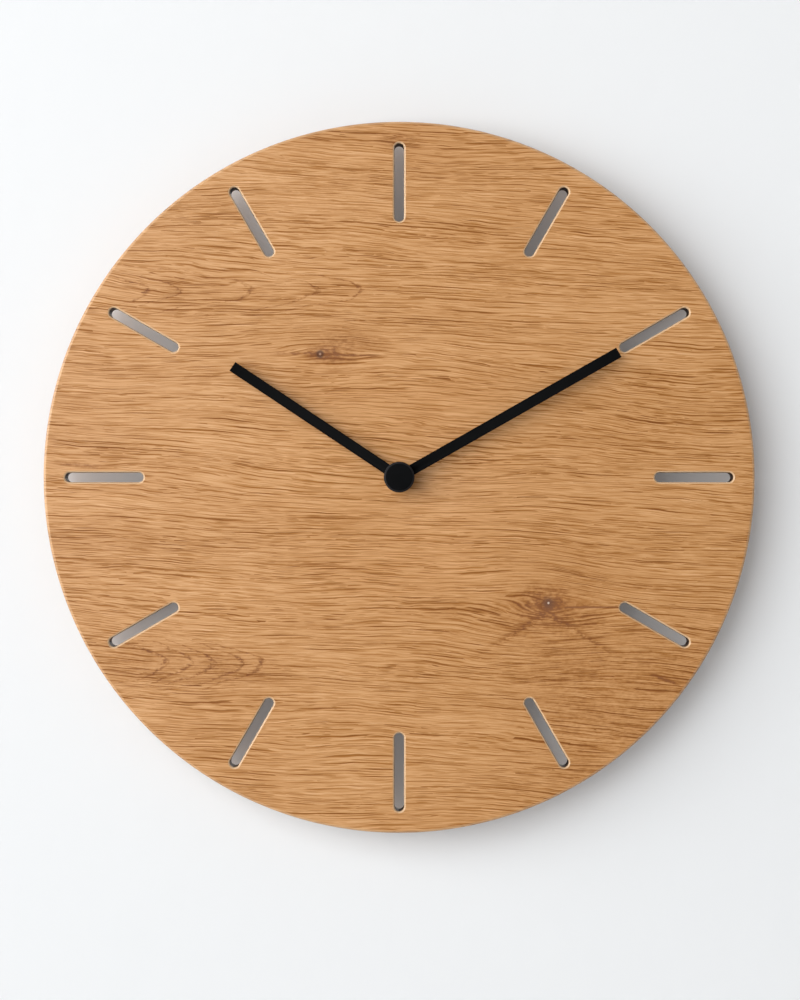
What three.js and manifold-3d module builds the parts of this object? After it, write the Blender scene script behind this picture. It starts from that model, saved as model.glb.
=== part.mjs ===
// Wooden wall clock: an oak board with twelve slots for hour marks, two bar hands and a battery movement.
// Millimetres. In here the dial faces +Z, with +Y towards twelve; the last lines stand it upright.
import * as THREE from 'three';
import { mergeVertices } from 'three/addons/utils/BufferGeometryUtils.js';
import Module from 'manifold-3d';

const wasm = await Module();
wasm.setup();

// Clearances
const seat = 0.3;
const closeSeat = 0.15;
const runningFit = 0.12;
const endPlay = 0.2;
const cutThrough = 1;
const weldTolerance = 1e-4;

// Dial board
const boardRadius = 175;
const boardThickness = 12;
const boardSides = 80;
const rimRound = 1.5;
const rimSteps = 2;
const slotCount = 12;
const slotWidth = 4.7;
const slotLength = 38.5;
const slotInset = 10.7;
const slotRound = 1;
const slotRoundSteps = 2;
const pocketDepth = 6;
const pocketClearance = 1;
const pocketCorner = 3;

// Hands and cap
const hourHandLength = 98;
const hourHandWidth = 5.2;
const minuteHandLength = 123.4;
const minuteHandWidth = 5.3;
const handThickness = 0.8;
const handHubRadius = 5.5;
const handGap = 0.6;
const collarRadius = 3.9;
const collarHeight = 1.1;
const hourAngle = THREE.MathUtils.degToRad(303.6);
const minuteAngle = THREE.MathUtils.degToRad(60.4);
const capRadius = 7.5;
const capDepth = 4.2;
const capChamfer = 1;
const capRecessRadius = 5.6;
const capRecessDepth = 0.8;
const capFace = 1.2;

// Dial fixing
const bushRadius = 4;
const bushBoreRadius = 3;
const bushFlangeRadius = 5.5;
const bushFlangeThickness = 0.7;
const bushProud = 0.5;
const bushChamfer = 0.5;
const holeClearance = 0.3;
const nutAcrossFlats = 11;
const nutHeight = 2.2;
const nutChamfer = 0.5;
const brassWasherRadius = 6.6;
const brassWasherThickness = 0.6;
const rubberWasherRadius = 12;
const rubberWasherThickness = 0.8;

// Hanger plate
const hangerThickness = 1;
const hangerBaseRadius = 14;
const hangerWidth = 18;
const hangerBendRadius = 1.5;
const hangerSetBack = 12.5;
const hangerEyeRadius = 5.5;
const hangerNotchRadius = 2.6;
const hangerEyeRise = 10;
const hangerNotchRise = 7;
const hangerRim = 4;

// Feet and their screws
const footRingRadius = 105;
const footAngles = [90, 210, 330].map(THREE.MathUtils.degToRad);
const footNames = ['top', 'left', 'right'];
const footBaseRadius = 7.5;
const footTipRadius = 6;
const footBoreRadius = 4.2;
const footWeb = 6;
const wallClearance = 1;
const screwHeadRadius = 3;
const screwHeadHeight = 2;
const screwCrownRadius = 1.8;
const screwRadius = 1.5;
const screwBite = 6;
const screwPoint = 2;

// Battery
const batteryRadius = 7.1;
const batteryLength = 50.5;
const batteryNubRadius = 2.7;
const batteryNubLength = 1;
const batteryShoulder = 0.6;
const batterySideRoom = 0.5;
const contactRoom = 1.5;
const contactThickness = 0.4;
const contactHeight = 2;
const contactEndRoom = 1;
const contactDimpleRadius = 1.9;
const contactBowShare = 0.7;
const cradleThickness = 1.2;
const cradleReach = 3.5;
const cradleSpacing = 30;

// Movement case
const caseWall = 1;
const caseFrontWall = 0.8;
const caseCorner = 2;
const bayWall = 0.8;
const coverWall = 1;
const lipHeight = 1;
const lipWall = 0.8;
const latchWidth = 5;
const latchReach = 2.6;
const latchBarb = 0.6;
const latchSpacing = 28;
const postRadius = 1.5;
const postInset = 2.7;
const bossWall = 0.8;
const plateThickness = 0.8;
const plateCorner = 1;

// Gear train
const wheelThickness = 0.8;
const hourWheelThickness = 0.9;
const planeGap = 0.7;
const pinionOverrun = 0.3;
const hubHeight = 0.5;
const hourHubRadius = 4.2;
const arborRadius = 0.5;
const pinionAddendum = 0.6;
const wheelAddendum = 1.1;
const rootClearance = 0.3;
const wheelRootShare = 0.62;
const wheelTipShare = 0.22;
const leafRootShare = 0.42;
const leafTipShare = 0.2;
const motionModule = 0.6;
const thirdModule = 0.43;
const secondsModule = 0.4;
const rotorModule = 0.33;
const cannonTeeth = 10;
const minuteWheelTeeth = 30;
const minutePinionTeeth = 8;
const hourWheelTeeth = 32;
const centreWheelTeeth = 45;
const smallPinionTeeth = 6;
const thirdWheelTeeth = 48;
const secondsWheelTeeth = 36;
const idlerWheelTeeth = 30;
const minuteArborAngle = Math.PI;
const thirdArborAngle = THREE.MathUtils.degToRad(110);
const idlerArborAngle = 0;
const rotorTurnOff = THREE.MathUtils.degToRad(25);
const minutePipeRadius = 1.8;
const minutePipeBore = 0.85;
const minutePipeStep = 0.3;
const minutePipeCollar = 2.7;
const hourPipeWall = 0.6;
const minuteArborRadius = 0.9;
const clutchSlotWidth = 1.2;
const clutchArmCount = 3;
const clutchSlotShare = 0.75;
const webHoleCount = 4;
const webHoleShare = 0.6;

// Setting knob
const knobRadius = 5;
const knobFlutes = 14;
const knobFluteDepth = 0.45;
const knobWellRoom = 0.6;
const knobWellWall = 0.8;
const knobWellFloor = 0.7;
const knobWall = 0.6;

// Motor and electronics
const magnetRadius = 2.6;
const magnetThickness = 1.6;
const statorThickness = 0.8;
const statorAirGap = 0.4;
const statorRing = 0.9;
const statorLegWidth = 4;
const statorNotch = 0.4;
const coreThickness = 0.8;
const coreCorner = 1;
const coilFlangeRadius = 4;
const coilFlangeThickness = 0.8;
const coilWindingRadius = 3.7;
const coilHubRadius = 2.7;
const coilSideRoom = 0.5;
const coilLength = 21.6;
const coilTopRoom = 4.4;
const circuitSize = new THREE.Vector2(14.6, 14.4);
const circuitRoom = 3;
const circuitThickness = 0.8;
const circuitHeight = 2;
const padInset = 1.7;
const pillarRadius = 1;
const chipRadius = 2.8;
const chipHeight = 0.9;
const chipDrop = 9;
const crystalRadius = 0.75;
const crystalLength = 5.5;

const TURN = 2 * Math.PI;
const QUARTER = Math.PI / 2;

// Finishes
const finish = (color, roughness, metalness) => (
  new THREE.MeshStandardMaterial({ color, roughness, metalness }));
const oak = finish(0xcd9a66, 0.6, 0);
const matteBlack = finish(0x161617, 0.55, 0.1);
const brass = finish(0xc6a04e, 0.35, 1);
const steel = finish(0xb4b7bb, 0.4, 1);
const rubber = finish(0x1f1f20, 0.85, 0);
const casePlastic = finish(0x1a1b1d, 0.5, 0);
const gearPlastic = finish(0xe8e4d8, 0.45, 0);
const laminate = finish(0x2a6a48, 0.5, 0);
const copper = finish(0xa9602f, 0.4, 0.8);
const magnetic = finish(0x55565a, 0.5, 0.8);
const batteryCan = finish(0x8d9196, 0.35, 0.6);

// Outlines in the plane of the dial
function polar(radius, angle) {
  return new THREE.Vector2(radius * Math.cos(angle), radius * Math.sin(angle));
}

function arc(centre, radius, start, end, steps) {
  const points = [];
  for (let i = 0; i <= steps; i += 1) {
    points.push(polar(radius, start + (end - start) * i / steps).add(centre));
  }
  return points;
}

function circle(radius, sides, centre = new THREE.Vector2()) {
  return arc(centre, radius, 0, TURN, sides).slice(0, -1);
}

function roundedBox(left, bottom, right, top, radius, steps = 3) {
  const inner = box(left + radius, bottom + radius, right - radius, top - radius);
  const corners = [inner[2], inner[3], inner[0], inner[1]];
  return corners.flatMap((corner, i) => arc(corner, radius, i * QUARTER, (i + 1) * QUARTER, steps));
}

function outlineOf(pairs) {
  return pairs.map(([x, y]) => new THREE.Vector2(x, y));
}

function box(left, bottom, right, top) {
  return outlineOf([[left, bottom], [right, bottom], [right, top], [left, top]]);
}

// A strip of sheet of one thickness that follows a line of points, mitred at each bend.
function ribbon(points, thickness) {
  const sides = [[], []];
  points.forEach((point, i) => {
    const before = points[Math.max(i - 1, 0)];
    const after = points[Math.min(i + 1, points.length - 1)];
    const into = (i > 0 ? point.clone().sub(before) : after.clone().sub(point)).normalize();
    const out = (i < points.length - 1 ? after.clone().sub(point) : point.clone().sub(before)).normalize();
    const bisector = into.clone().add(out).normalize();
    const normal = new THREE.Vector2(-bisector.y, bisector.x);
    const reach = thickness / 2 / Math.abs(bisector.dot(into));
    sides[0].push(point.clone().addScaledVector(normal, reach));
    sides[1].unshift(point.clone().addScaledVector(normal, -reach));
  });
  return [...sides[0], ...sides[1]];
}

// Solids
function toSolid(geometry) {
  const bare = new THREE.BufferGeometry();
  bare.setAttribute('position', geometry.getAttribute('position'));
  bare.setIndex(geometry.index);
  const welded = mergeVertices(bare, weldTolerance);
  const corners = [];
  for (let i = 0; i < welded.index.count; i += 3) {
    const [a, b, c] = [0, 1, 2].map((k) => welded.index.getX(i + k));
    if (a !== b && b !== c && c !== a) corners.push(a, b, c);
  }
  return new wasm.Manifold(new wasm.Mesh({
    numProp: 3,
    vertProperties: new Float32Array(welded.getAttribute('position').array),
    triVerts: new Uint32Array(corners),
  }));
}

function toGeometry(solid) {
  const { vertProperties, triVerts } = solid.getMesh();
  const geometry = new THREE.BufferGeometry();
  geometry.setAttribute('position', new THREE.BufferAttribute(vertProperties, 3));
  geometry.setIndex(new THREE.BufferAttribute(triVerts, 1));
  geometry.computeVertexNormals();
  return geometry;
}

function prismGeometry(outline, holes, back, front) {
  const shape = new THREE.Shape(outline);
  shape.holes = holes.map((hole) => new THREE.Path(hole));
  const geometry = new THREE.ExtrudeGeometry(shape, { depth: front - back, bevelEnabled: false });
  return geometry.translate(0, 0, back);
}

function prism(outline, holes, back, front) {
  return toSolid(prismGeometry(outline, holes, back, front));
}

function axes() {
  return [0, 1, 2].map((k) => new THREE.Vector3().setComponent(k, 1));
}

// A profile of [radius, height] points, turned about the Z axis.
function turnedGeometry(profile, sides) {
  const points = profile.map(([radius, height]) => new THREE.Vector2(radius, height));
  return new THREE.LatheGeometry(points, sides).rotateX(QUARTER);
}

function turned(profile, sides) {
  return toSolid(turnedGeometry(profile, sides));
}

function rod(radius, back, front, sides = 10) {
  return turned([[0, back], [radius, back], [radius, front], [0, front]], sides);
}

function tube(inner, outer, back, front, sides = 24) {
  return turned([[inner, back], [outer, back], [outer, front], [inner, front], [inner, back]], sides);
}

function at(solid, point) {
  return solid.translate([point.x, point.y, 0]);
}

function join(...solids) {
  return solids.reduce((whole, piece) => whole.add(piece));
}

function cut(solid, ...cutters) {
  return cutters.reduce((whole, cutter) => whole.subtract(cutter), solid);
}

function part(name, material, solid, centre = new THREE.Vector2(), turn = 0) {
  const mesh = new THREE.Mesh(toGeometry(solid), material);
  mesh.name = name;
  mesh.position.set(centre.x, centre.y, 0);
  mesh.rotation.z = turn;
  return mesh;
}

// Depths of the dial fixing, from the board's back face at zero
const boardFront = boardThickness;
const hangerFront = pocketDepth - seat;
const hangerBack = hangerFront - hangerThickness;
const rubberFront = hangerBack - seat;
const rubberBack = rubberFront - rubberWasherThickness;
const caseFront = rubberBack - seat;
const caseInside = caseFront - caseFrontWall;
const brassBack = boardFront + seat;
const brassFront = brassBack + brassWasherThickness;
const nutBack = brassFront + closeSeat;
const nutFront = nutBack + nutHeight;
const bushFront = nutFront + bushProud;
const hourHandBack = bushFront + handGap;
const hourHandFront = hourHandBack + handThickness;
const hourPipeFront = hourHandFront + collarHeight;
const minuteHandBack = hourPipeFront + handGap;
const minuteHandFront = minuteHandBack + handThickness;
const capBack = minuteHandFront + closeSeat;
const capFront = capBack + capDepth;
const minutePipeFront = capFront - capFace - endPlay;

// Depths of the train, from the dial side to the back
const flangeFront = caseInside - closeSeat;
const flangeBack = flangeFront - bushFlangeThickness;
const hourHubFront = flangeBack - endPlay;
const hourWheelFront = hourHubFront - hubHeight;
const hourWheelBack = hourWheelFront - hourWheelThickness;
const minuteWheelFront = hourWheelBack - planeGap;
const minuteWheelBack = minuteWheelFront - wheelThickness;
const centreWheelFront = minuteWheelBack - planeGap;
const centreWheelBack = centreWheelFront - wheelThickness;
const plateFront = centreWheelBack - planeGap;
const plateBack = plateFront - plateThickness;
const thirdWheelFront = plateBack - planeGap;
const thirdWheelBack = thirdWheelFront - wheelThickness;
const secondsWheelFront = thirdWheelBack - planeGap;
const secondsWheelBack = secondsWheelFront - wheelThickness;
const idlerWheelFront = secondsWheelBack - planeGap;
const idlerWheelBack = idlerWheelFront - wheelThickness;
const bossFront = idlerWheelBack - pinionOverrun - endPlay;
const batteryBack = caseInside - seat - 2 * batteryRadius;
const coverInside = Math.min(bossFront - bossWall, batteryBack + coverWall);
const caseBack = coverInside - coverWall;
const wallPlane = caseBack - wallClearance;

// Places of the arbors in the plane of the dial
const hourModule = motionModule * (cannonTeeth + minuteWheelTeeth) / (minutePinionTeeth + hourWheelTeeth);
const centreModule = thirdModule * (thirdWheelTeeth + smallPinionTeeth)
  / (centreWheelTeeth + smallPinionTeeth);
const centreDistance = (module, teeth, others) => module * (teeth + others) / 2;
const centreArbor = new THREE.Vector2();
const minuteArbor = polar(centreDistance(motionModule, cannonTeeth, minuteWheelTeeth), minuteArborAngle);
const thirdArbor = polar(centreDistance(thirdModule, thirdWheelTeeth, smallPinionTeeth), thirdArborAngle);
const idlerDistance = centreDistance(secondsModule, secondsWheelTeeth, smallPinionTeeth);
const idlerArbor = polar(idlerDistance, idlerArborAngle);
const rotorArbor = polar(centreDistance(rotorModule, idlerWheelTeeth, smallPinionTeeth), rotorTurnOff)
  .add(idlerArbor);

// Movement case, sized round the battery, the largest wheels, and the motor beside its coil
const tipRadius = (module, teeth) => module * (teeth / 2 + wheelAddendum);
const widestWheel = Math.max(tipRadius(centreModule, centreWheelTeeth),
  tipRadius(hourModule, hourWheelTeeth));
const roomBelow = widestWheel + seat;
const bayTop = -roomBelow - bayWall;
const bayBottom = bayTop - 2 * (batteryRadius + batterySideRoom);
const caseHalfHeight = -bayBottom + caseWall;
const statorHole = magnetRadius + statorAirGap;
const motorReach = rotorArbor.x + statorHole + statorRing + 2 * (coilSideRoom + coilFlangeRadius);
const insideX = Math.max(batteryLength / 2 + contactRoom, motorReach);
const insideY = caseHalfHeight - caseWall;
const caseHalfWidth = insideX + caseWall;
const batteryCentre = (bayTop + bayBottom) / 2;

// Motor layout
const statorFront = plateBack - closeSeat;
const statorBack = statorFront - statorThickness;
const coreFront = statorBack - closeSeat;
const coreBack = coreFront - coreThickness;
const coilX = insideX - coilSideRoom - coilFlangeRadius;
const coilTop = insideY - coilTopRoom - statorLegWidth / 2;
const coilBottom = coilTop - coilLength;
const upperLeg = coilTop + seat + statorLegWidth / 2;
const lowerLeg = coilBottom - seat - statorLegWidth / 2;
const plateRight = coilX - coilFlangeRadius - coilSideRoom;

// Teeth, each a share of the pitch wide at its root and at its tip. A pinion's gaps are the deeper ones.
function toothedOutline(teeth, module, phase, drop, rise, rootShare, tipShare) {
  const pitch = module * teeth / 2;
  const points = [];
  for (let i = 0; i < teeth; i += 1) {
    const middle = phase + i * TURN / teeth;
    const [root, tip] = [rootShare, tipShare].map((share) => share * Math.PI / teeth);
    points.push(polar(pitch - drop * module, middle - root), polar(pitch + rise * module, middle - tip));
    points.push(polar(pitch + rise * module, middle + tip), polar(pitch - drop * module, middle + root));
  }
  return points;
}

function wheelOutline(teeth, module, phase) {
  const drop = pinionAddendum + rootClearance;
  return toothedOutline(teeth, module, phase, drop, wheelAddendum, wheelRootShare, wheelTipShare);
}

function pinionOutline(teeth, module, phase) {
  const drop = wheelAddendum + rootClearance;
  return toothedOutline(teeth, module, phase, drop, pinionAddendum, leafRootShare, leafTipShare);
}

// The phase that puts a tooth of one gear in a gap of the next, which lies at the given angle from it.
function meshPhase(angle, teeth, drivingTeeth, drivingPhase) {
  return angle + Math.PI + Math.PI / teeth + (angle - drivingPhase) * drivingTeeth / teeth;
}

const minuteWheelPhase = meshPhase(minuteArborAngle, minuteWheelTeeth, cannonTeeth, 0);
const hourWheelPhase = meshPhase(minuteArborAngle + Math.PI, hourWheelTeeth, minutePinionTeeth, 0);
const thirdPinionPhase = meshPhase(thirdArborAngle, smallPinionTeeth, centreWheelTeeth, 0);
const secondsPinionPhase = meshPhase(thirdArborAngle + Math.PI, smallPinionTeeth, thirdWheelTeeth, 0);
const idlerPinionPhase = meshPhase(idlerArborAngle, smallPinionTeeth, secondsWheelTeeth, 0);
const rotorPinionPhase = meshPhase(rotorTurnOff, smallPinionTeeth, idlerWheelTeeth, 0);

// Round holes that lighten a wheel's web, between its hub and its rim.
function webHoles(hub, rim, count) {
  const radius = (rim - hub) / 2 * webHoleShare;
  const holes = [];
  for (let i = 0; i < count; i += 1) {
    holes.push(circle(radius, 8, polar((hub + rim) / 2, (i + 0.5) * TURN / count)));
  }
  return holes;
}

// Dial board
function slotOutline() {
  const radius = slotWidth / 2;
  const outer = boardRadius - slotInset - radius;
  const inner = boardRadius - slotInset - slotLength + radius;
  return [...arc(new THREE.Vector2(0, outer), radius, 0, Math.PI, 4),
    ...arc(new THREE.Vector2(0, inner), radius, Math.PI, TURN, 4)];
}

function pocketTop() {
  return caseHalfHeight + seat + hangerThickness + 2 * pocketClearance;
}

// A disc with a rounded rim, round slots with rounded mouths, and a pocket for the movement behind.
function makeBoard() {
  const shape = new THREE.Shape(circle(boardRadius + slotRound + cutThrough, boardSides));
  const slot = slotOutline();
  for (let i = 0; i < slotCount; i += 1) {
    const turn = i * TURN / slotCount;
    shape.holes.push(new THREE.Path(slot.map((p) => p.clone().rotateAround(centreArbor, turn))));
  }
  const slab = new THREE.ExtrudeGeometry(shape, {
    depth: boardThickness - 2 * slotRound,
    bevelThickness: slotRound,
    bevelSize: slotRound,
    bevelOffset: -slotRound,
    bevelSegments: slotRoundSteps,
  }).translate(0, 0, slotRound);
  const inner = boardRadius - rimRound;
  const rim = [...arc(new THREE.Vector2(inner, rimRound), rimRound, -QUARTER, 0, rimSteps),
    ...arc(new THREE.Vector2(inner, boardThickness - rimRound), rimRound, 0, QUARTER, rimSteps)];
  const disc = turned([[0, 0], ...rim.map((p) => [p.x, p.y]), [0, boardThickness]], boardSides);
  const x = caseHalfWidth + pocketClearance;
  const y = caseHalfHeight + pocketClearance;
  const pocket = prism(roundedBox(-x, -y, x, pocketTop(), pocketCorner), [], -cutThrough, pocketDepth);
  const bushHole = rod(bushRadius + holeClearance, 0, boardThickness + cutThrough, 24);
  const pilot = rod(screwRadius + holeClearance, -cutThrough, screwBite + cutThrough, 10);
  const pilots = footAngles.map((angle) => at(pilot, polar(footRingRadius, angle)));
  return cut(toSolid(slab).intersect(disc), pocket, bushHole, ...pilots);
}

// Hands: a flat bar with a square end, a round hub under the cap and a hole for its pipe.
function handOutline(length, width) {
  const start = Math.asin(width / 2 / handHubRadius);
  return [new THREE.Vector2(width / 2, length), new THREE.Vector2(-width / 2, length),
    ...arc(centreArbor, handHubRadius, QUARTER + start, QUARTER - start + TURN, 20)];
}

const hourPipeBore = minutePipeRadius + runningFit;
const hourPipeRadius = hourPipeBore + hourPipeWall;

function makeHourHand() {
  const bore = hourPipeRadius + runningFit;
  const outline = handOutline(hourHandLength, hourHandWidth);
  const bar = prism(outline, [circle(bore, 20)], hourHandBack, hourHandFront);
  const collar = tube(bore, collarRadius, hourHandBack, hourHandFront + collarHeight / 2, 20);
  return join(bar, collar);
}

function makeMinuteHand() {
  const bore = circle(minutePipeRadius - minutePipeStep + runningFit, 16);
  return prism(handOutline(minuteHandLength, minuteHandWidth), [bore], minuteHandBack, minuteHandFront);
}

function makeCap() {
  const bore = minutePipeRadius - minutePipeStep + runningFit;
  return turned([[0, capFront - capFace], [bore, capFront - capFace], [bore, capBack + capRecessDepth],
    [capRecessRadius, capBack + capRecessDepth], [capRecessRadius, capBack], [capRadius, capBack],
    [capRadius, capFront - capChamfer], [capRadius - capChamfer, capFront], [0, capFront]], 24);
}

// Dial fixing
function makeRubberWasher() {
  return tube(bushRadius + holeClearance, rubberWasherRadius, rubberBack, rubberFront);
}

function makeBrassWasher() {
  return tube(bushRadius + closeSeat, brassWasherRadius, brassBack, brassFront);
}

function makeBush() {
  const end = bushFront - bushChamfer;
  return turned([[bushBoreRadius, flangeBack], [bushFlangeRadius, flangeBack],
    [bushFlangeRadius, flangeFront], [bushRadius, flangeFront], [bushRadius, end],
    [bushRadius - bushChamfer, bushFront], [bushBoreRadius, bushFront], [bushBoreRadius, flangeBack]], 20);
}

function makeNut() {
  const corner = nutAcrossFlats / Math.sqrt(3);
  const blank = prism(circle(corner, 6), [circle(bushRadius + closeSeat, 24)], nutBack, nutFront);
  const flat = nutAcrossFlats / 2;
  const turning = turned([[0, nutBack], [corner + cutThrough, nutBack],
    [corner + cutThrough, nutFront - nutChamfer - cutThrough], [flat, nutFront], [0, nutFront]], 24);
  return blank.intersect(turning);
}

// Hanger plate: one strip of sheet steel, clamped round the bush and bent back over the case to its eye.
const riserBack = caseHalfHeight + seat;
const eyePlane = hangerFront - hangerSetBack;
const eyeCentre = riserBack + hangerEyeRise;
const notchCentre = eyeCentre + hangerNotchRise;
const hookHeight = notchCentre + hangerNotchRadius;
const hookDepth = eyePlane - hangerThickness / 2;

function makeHanger() {
  const middle = hangerFront - hangerThickness / 2;
  const riser = riserBack + hangerThickness / 2;
  const lowBend = new THREE.Vector2(riser - hangerBendRadius, middle - hangerBendRadius);
  const highBend = new THREE.Vector2(riser + hangerBendRadius, hookDepth + hangerBendRadius);
  const line = [new THREE.Vector2(-hangerBaseRadius, middle),
    ...arc(lowBend, hangerBendRadius, QUARTER, 0, 3),
    ...arc(highBend, hangerBendRadius, Math.PI, 3 * QUARTER, 3),
    new THREE.Vector2(hookHeight + hangerRim, hookDepth)];
  const strip = prismGeometry(ribbon(line, hangerThickness), [], -hangerBaseRadius, hangerBaseRadius);
  const [alongX, alongY, alongZ] = axes();
  strip.applyMatrix4(new THREE.Matrix4().makeBasis(alongY, alongZ, alongX));
  const half = hangerWidth / 2;
  const start = Math.asin(half / hangerBaseRadius);
  const outline = [...arc(centreArbor, hangerBaseRadius, QUARTER + start, QUARTER - start + TURN, 20),
    ...arc(new THREE.Vector2(0, hookHeight + hangerRim - half), half, 0, Math.PI, 10)];
  const back = hookDepth - hangerThickness;
  const blank = toSolid(strip).intersect(prism(outline, [], back, hangerFront + cutThrough));
  const bushHole = rod(bushRadius + holeClearance, hangerBack - cutThrough, hangerFront + cutThrough, 24);
  const eye = rod(hangerEyeRadius, back, eyePlane + cutThrough, 20);
  const notch = rod(hangerNotchRadius, back, eyePlane + cutThrough, 16);
  const neck = prism(box(-hangerNotchRadius, eyeCentre, hangerNotchRadius, notchCentre), [], back,
    eyePlane + cutThrough);
  return cut(blank, bushHole, at(eye, new THREE.Vector2(0, eyeCentre)),
    at(notch, new THREE.Vector2(0, notchCentre)), neck);
}

// Rubber foot with a counterbore for its screw, which bites into the board.
function makeFoot() {
  const hole = screwRadius + holeClearance;
  const web = -seat - footWeb;
  return turned([[hole, web], [footBoreRadius, web], [footBoreRadius, wallPlane],
    [footTipRadius, wallPlane], [footBaseRadius, -seat], [hole, -seat], [hole, web]], 16);
}

function makeScrew() {
  const seatPlane = -seat - footWeb - seat;
  const head = seatPlane - screwHeadHeight;
  return turned([[0, head], [screwCrownRadius, head], [screwHeadRadius, seatPlane - screwHeadHeight / 2],
    [screwHeadRadius, seatPlane], [screwRadius, seatPlane], [screwRadius, screwBite - screwPoint],
    [0, screwBite]], 10);
}

// Places of the cover's snap latches, on the walls above and below the train, each with the way it points.
function latchPlaces() {
  return [-latchSpacing / 2, latchSpacing / 2].flatMap((x) => [
    { x, wall: insideY, way: 1 }, { x, wall: -roomBelow, way: -1 }]);
}

// A tongue on the cover's lip, with a barb that hooks into a window in the case's wall.
function latch({ x, wall, way }) {
  const inner = wall - way * (closeSeat + lipWall);
  const outer = wall - way * closeSeat;
  const tip = coverInside + latchReach;
  const barb = outer + way * latchBarb;
  const profile = outlineOf([[inner, coverInside], [outer, coverInside], [outer, tip - 2 * latchBarb],
    [barb, tip - 2 * latchBarb], [outer, tip], [inner, tip]]);
  const strip = prismGeometry(profile, [], -latchWidth / 2, latchWidth / 2);
  const [alongX, alongY, alongZ] = axes();
  strip.applyMatrix4(new THREE.Matrix4().makeBasis(alongY, alongZ, alongX));
  return toSolid(strip).translate([x, 0, 0]);
}

function latchWindow({ x, wall, way }) {
  const half = latchWidth / 2 + seat;
  const [low, high] = [wall - way * closeSeat, wall + way * (caseWall + cutThrough)].sort((a, b) => a - b);
  const top = coverInside + latchReach;
  return prism(box(x - half, low, x + half, high), [], top - 2 * latchBarb - seat, top + seat);
}

// Movement case: a square tub, open at the back, with a bay for the battery below the train.
function arborBoss(radius, back) {
  const outer = radius + runningFit + bossWall;
  return tube(radius + runningFit, outer, back, caseInside + caseFrontWall / 2, 12);
}

function platePosts() {
  const left = -insideX + postInset;
  const right = plateRight - postRadius;
  const top = insideY - postInset;
  const bottom = -roomBelow + postInset;
  return outlineOf([[left, top], [right, top], [left, bottom], [right, bottom]]);
}

function makeFrontCase() {
  const outline = roundedBox(-caseHalfWidth, -caseHalfHeight, caseHalfWidth, caseHalfHeight, caseCorner);
  const tub = prism(outline, [], caseBack, caseFront);
  const room = prism(box(-insideX, -roomBelow, insideX, insideY), [], caseBack - cutThrough, caseInside);
  const bay = prism(box(-insideX, bayBottom, insideX, bayTop), [], caseBack - cutThrough, caseInside);
  const far = caseHalfWidth + cutThrough;
  const coverSeat = prism(box(-far, bayTop, far, far), [], caseBack - cutThrough, coverInside + closeSeat);
  const bushHole = rod(bushRadius + closeSeat, caseInside - cutThrough, caseFront + cutThrough, 24);
  const notch = contactThickness + 2 * closeSeat;
  const notches = [-insideX, insideX - notch].map((x) => prism(
    box(x, bayTop - cutThrough, x + notch, -roomBelow + cutThrough), [], caseBack,
    stripFront + closeSeat));
  const shell = cut(tub, room, bay, coverSeat, bushHole, ...notches, ...latchPlaces().map(latchWindow));
  const post = rod(postRadius, plateFront + closeSeat, caseInside + caseFrontWall / 2, 12);
  const posts = platePosts().map((point) => at(post, point));
  const minuteBoss = at(arborBoss(minuteArborRadius, hourHubFront), minuteArbor);
  const thirdBoss = at(arborBoss(arborRadius, hourHubFront), thirdArbor);
  return join(shell, ...posts, minuteBoss, thirdBoss, ...cradles());
}

// Ribs with a round seat that hold the battery off the case's front wall.
function cradles() {
  const low = caseInside - cradleReach;
  const front = caseInside + caseFrontWall / 2;
  const hollow = rod(batteryRadius + seat, -insideX, insideX, 24).rotate([0, 90, 0])
    .translate([0, batteryCentre, batteryBack + batteryRadius]);
  return [-cradleSpacing / 2, cradleSpacing / 2].map((x) => {
    const left = x - cradleThickness / 2;
    const outline = box(left, bayBottom - caseWall / 2, left + cradleThickness, bayTop + bayWall / 2);
    return prism(outline, [], low, front).subtract(hollow);
  });
}

// Back cover: a lid over the train, with a lip and latches, a well for the knob and a boss for each pivot.
function makeCover() {
  const well = knobRadius + knobWellRoom;
  const far = caseHalfWidth + cutThrough;
  const outline = roundedBox(-caseHalfWidth, -caseHalfHeight, caseHalfWidth, caseHalfHeight, caseCorner);
  const upper = prism(box(-far, bayTop, far, far), [], caseBack, coverInside);
  const lid = prism(outline, [circle(well, 20, minuteArbor)], caseBack, coverInside).intersect(upper);
  const [x, bottom, top] = [insideX - closeSeat, -roomBelow + closeSeat, insideY - closeSeat];
  const insideLip = box(-x + lipWall, bottom + lipWall, x - lipWall, top - lipWall);
  const lip = prism(box(-x, bottom, x, top), [insideLip], coverInside - coverWall / 2,
    coverInside + lipHeight);
  const shaftHole = minuteArborRadius + runningFit;
  const cup = turned([[shaftHole, wellFloorBack], [well, wellFloorBack], [well, caseBack],
    [well + knobWellWall, caseBack], [well + knobWellWall, wellFront], [shaftHole, wellFront],
    [shaftHole, wellFloorBack]], 20);
  const boss = turned([[0, coverInside - coverWall / 2], [arborRadius + runningFit + bossWall,
    coverInside - coverWall / 2], [arborRadius + runningFit + bossWall, bossFront],
  [arborRadius + runningFit, bossFront], [arborRadius + runningFit, coverInside], [0, coverInside]], 10);
  const bosses = [centreArbor, thirdArbor, idlerArbor, rotorArbor].map((point) => at(boss, point));
  return join(lid, lip, at(cup, minuteArbor), ...bosses, ...latchPlaces().map(latch));
}

// Middle plate, on the case's posts: it carries the pivots of the fast arbors, the stator and the circuit.
const circuitFront = coverInside + circuitHeight + circuitThickness;
const circuitLeft = -insideX + circuitRoom;
const circuitTop = insideY - circuitRoom;

function circuitPillars() {
  const right = circuitLeft + circuitSize.x;
  const inset = 1.5 * pillarRadius;
  const low = circuitTop - circuitSize.y / 2;
  return outlineOf([[circuitLeft + inset, circuitTop - inset],
    [(circuitLeft + right) / 2, circuitTop - inset], [circuitLeft + inset, low]]);
}

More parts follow.
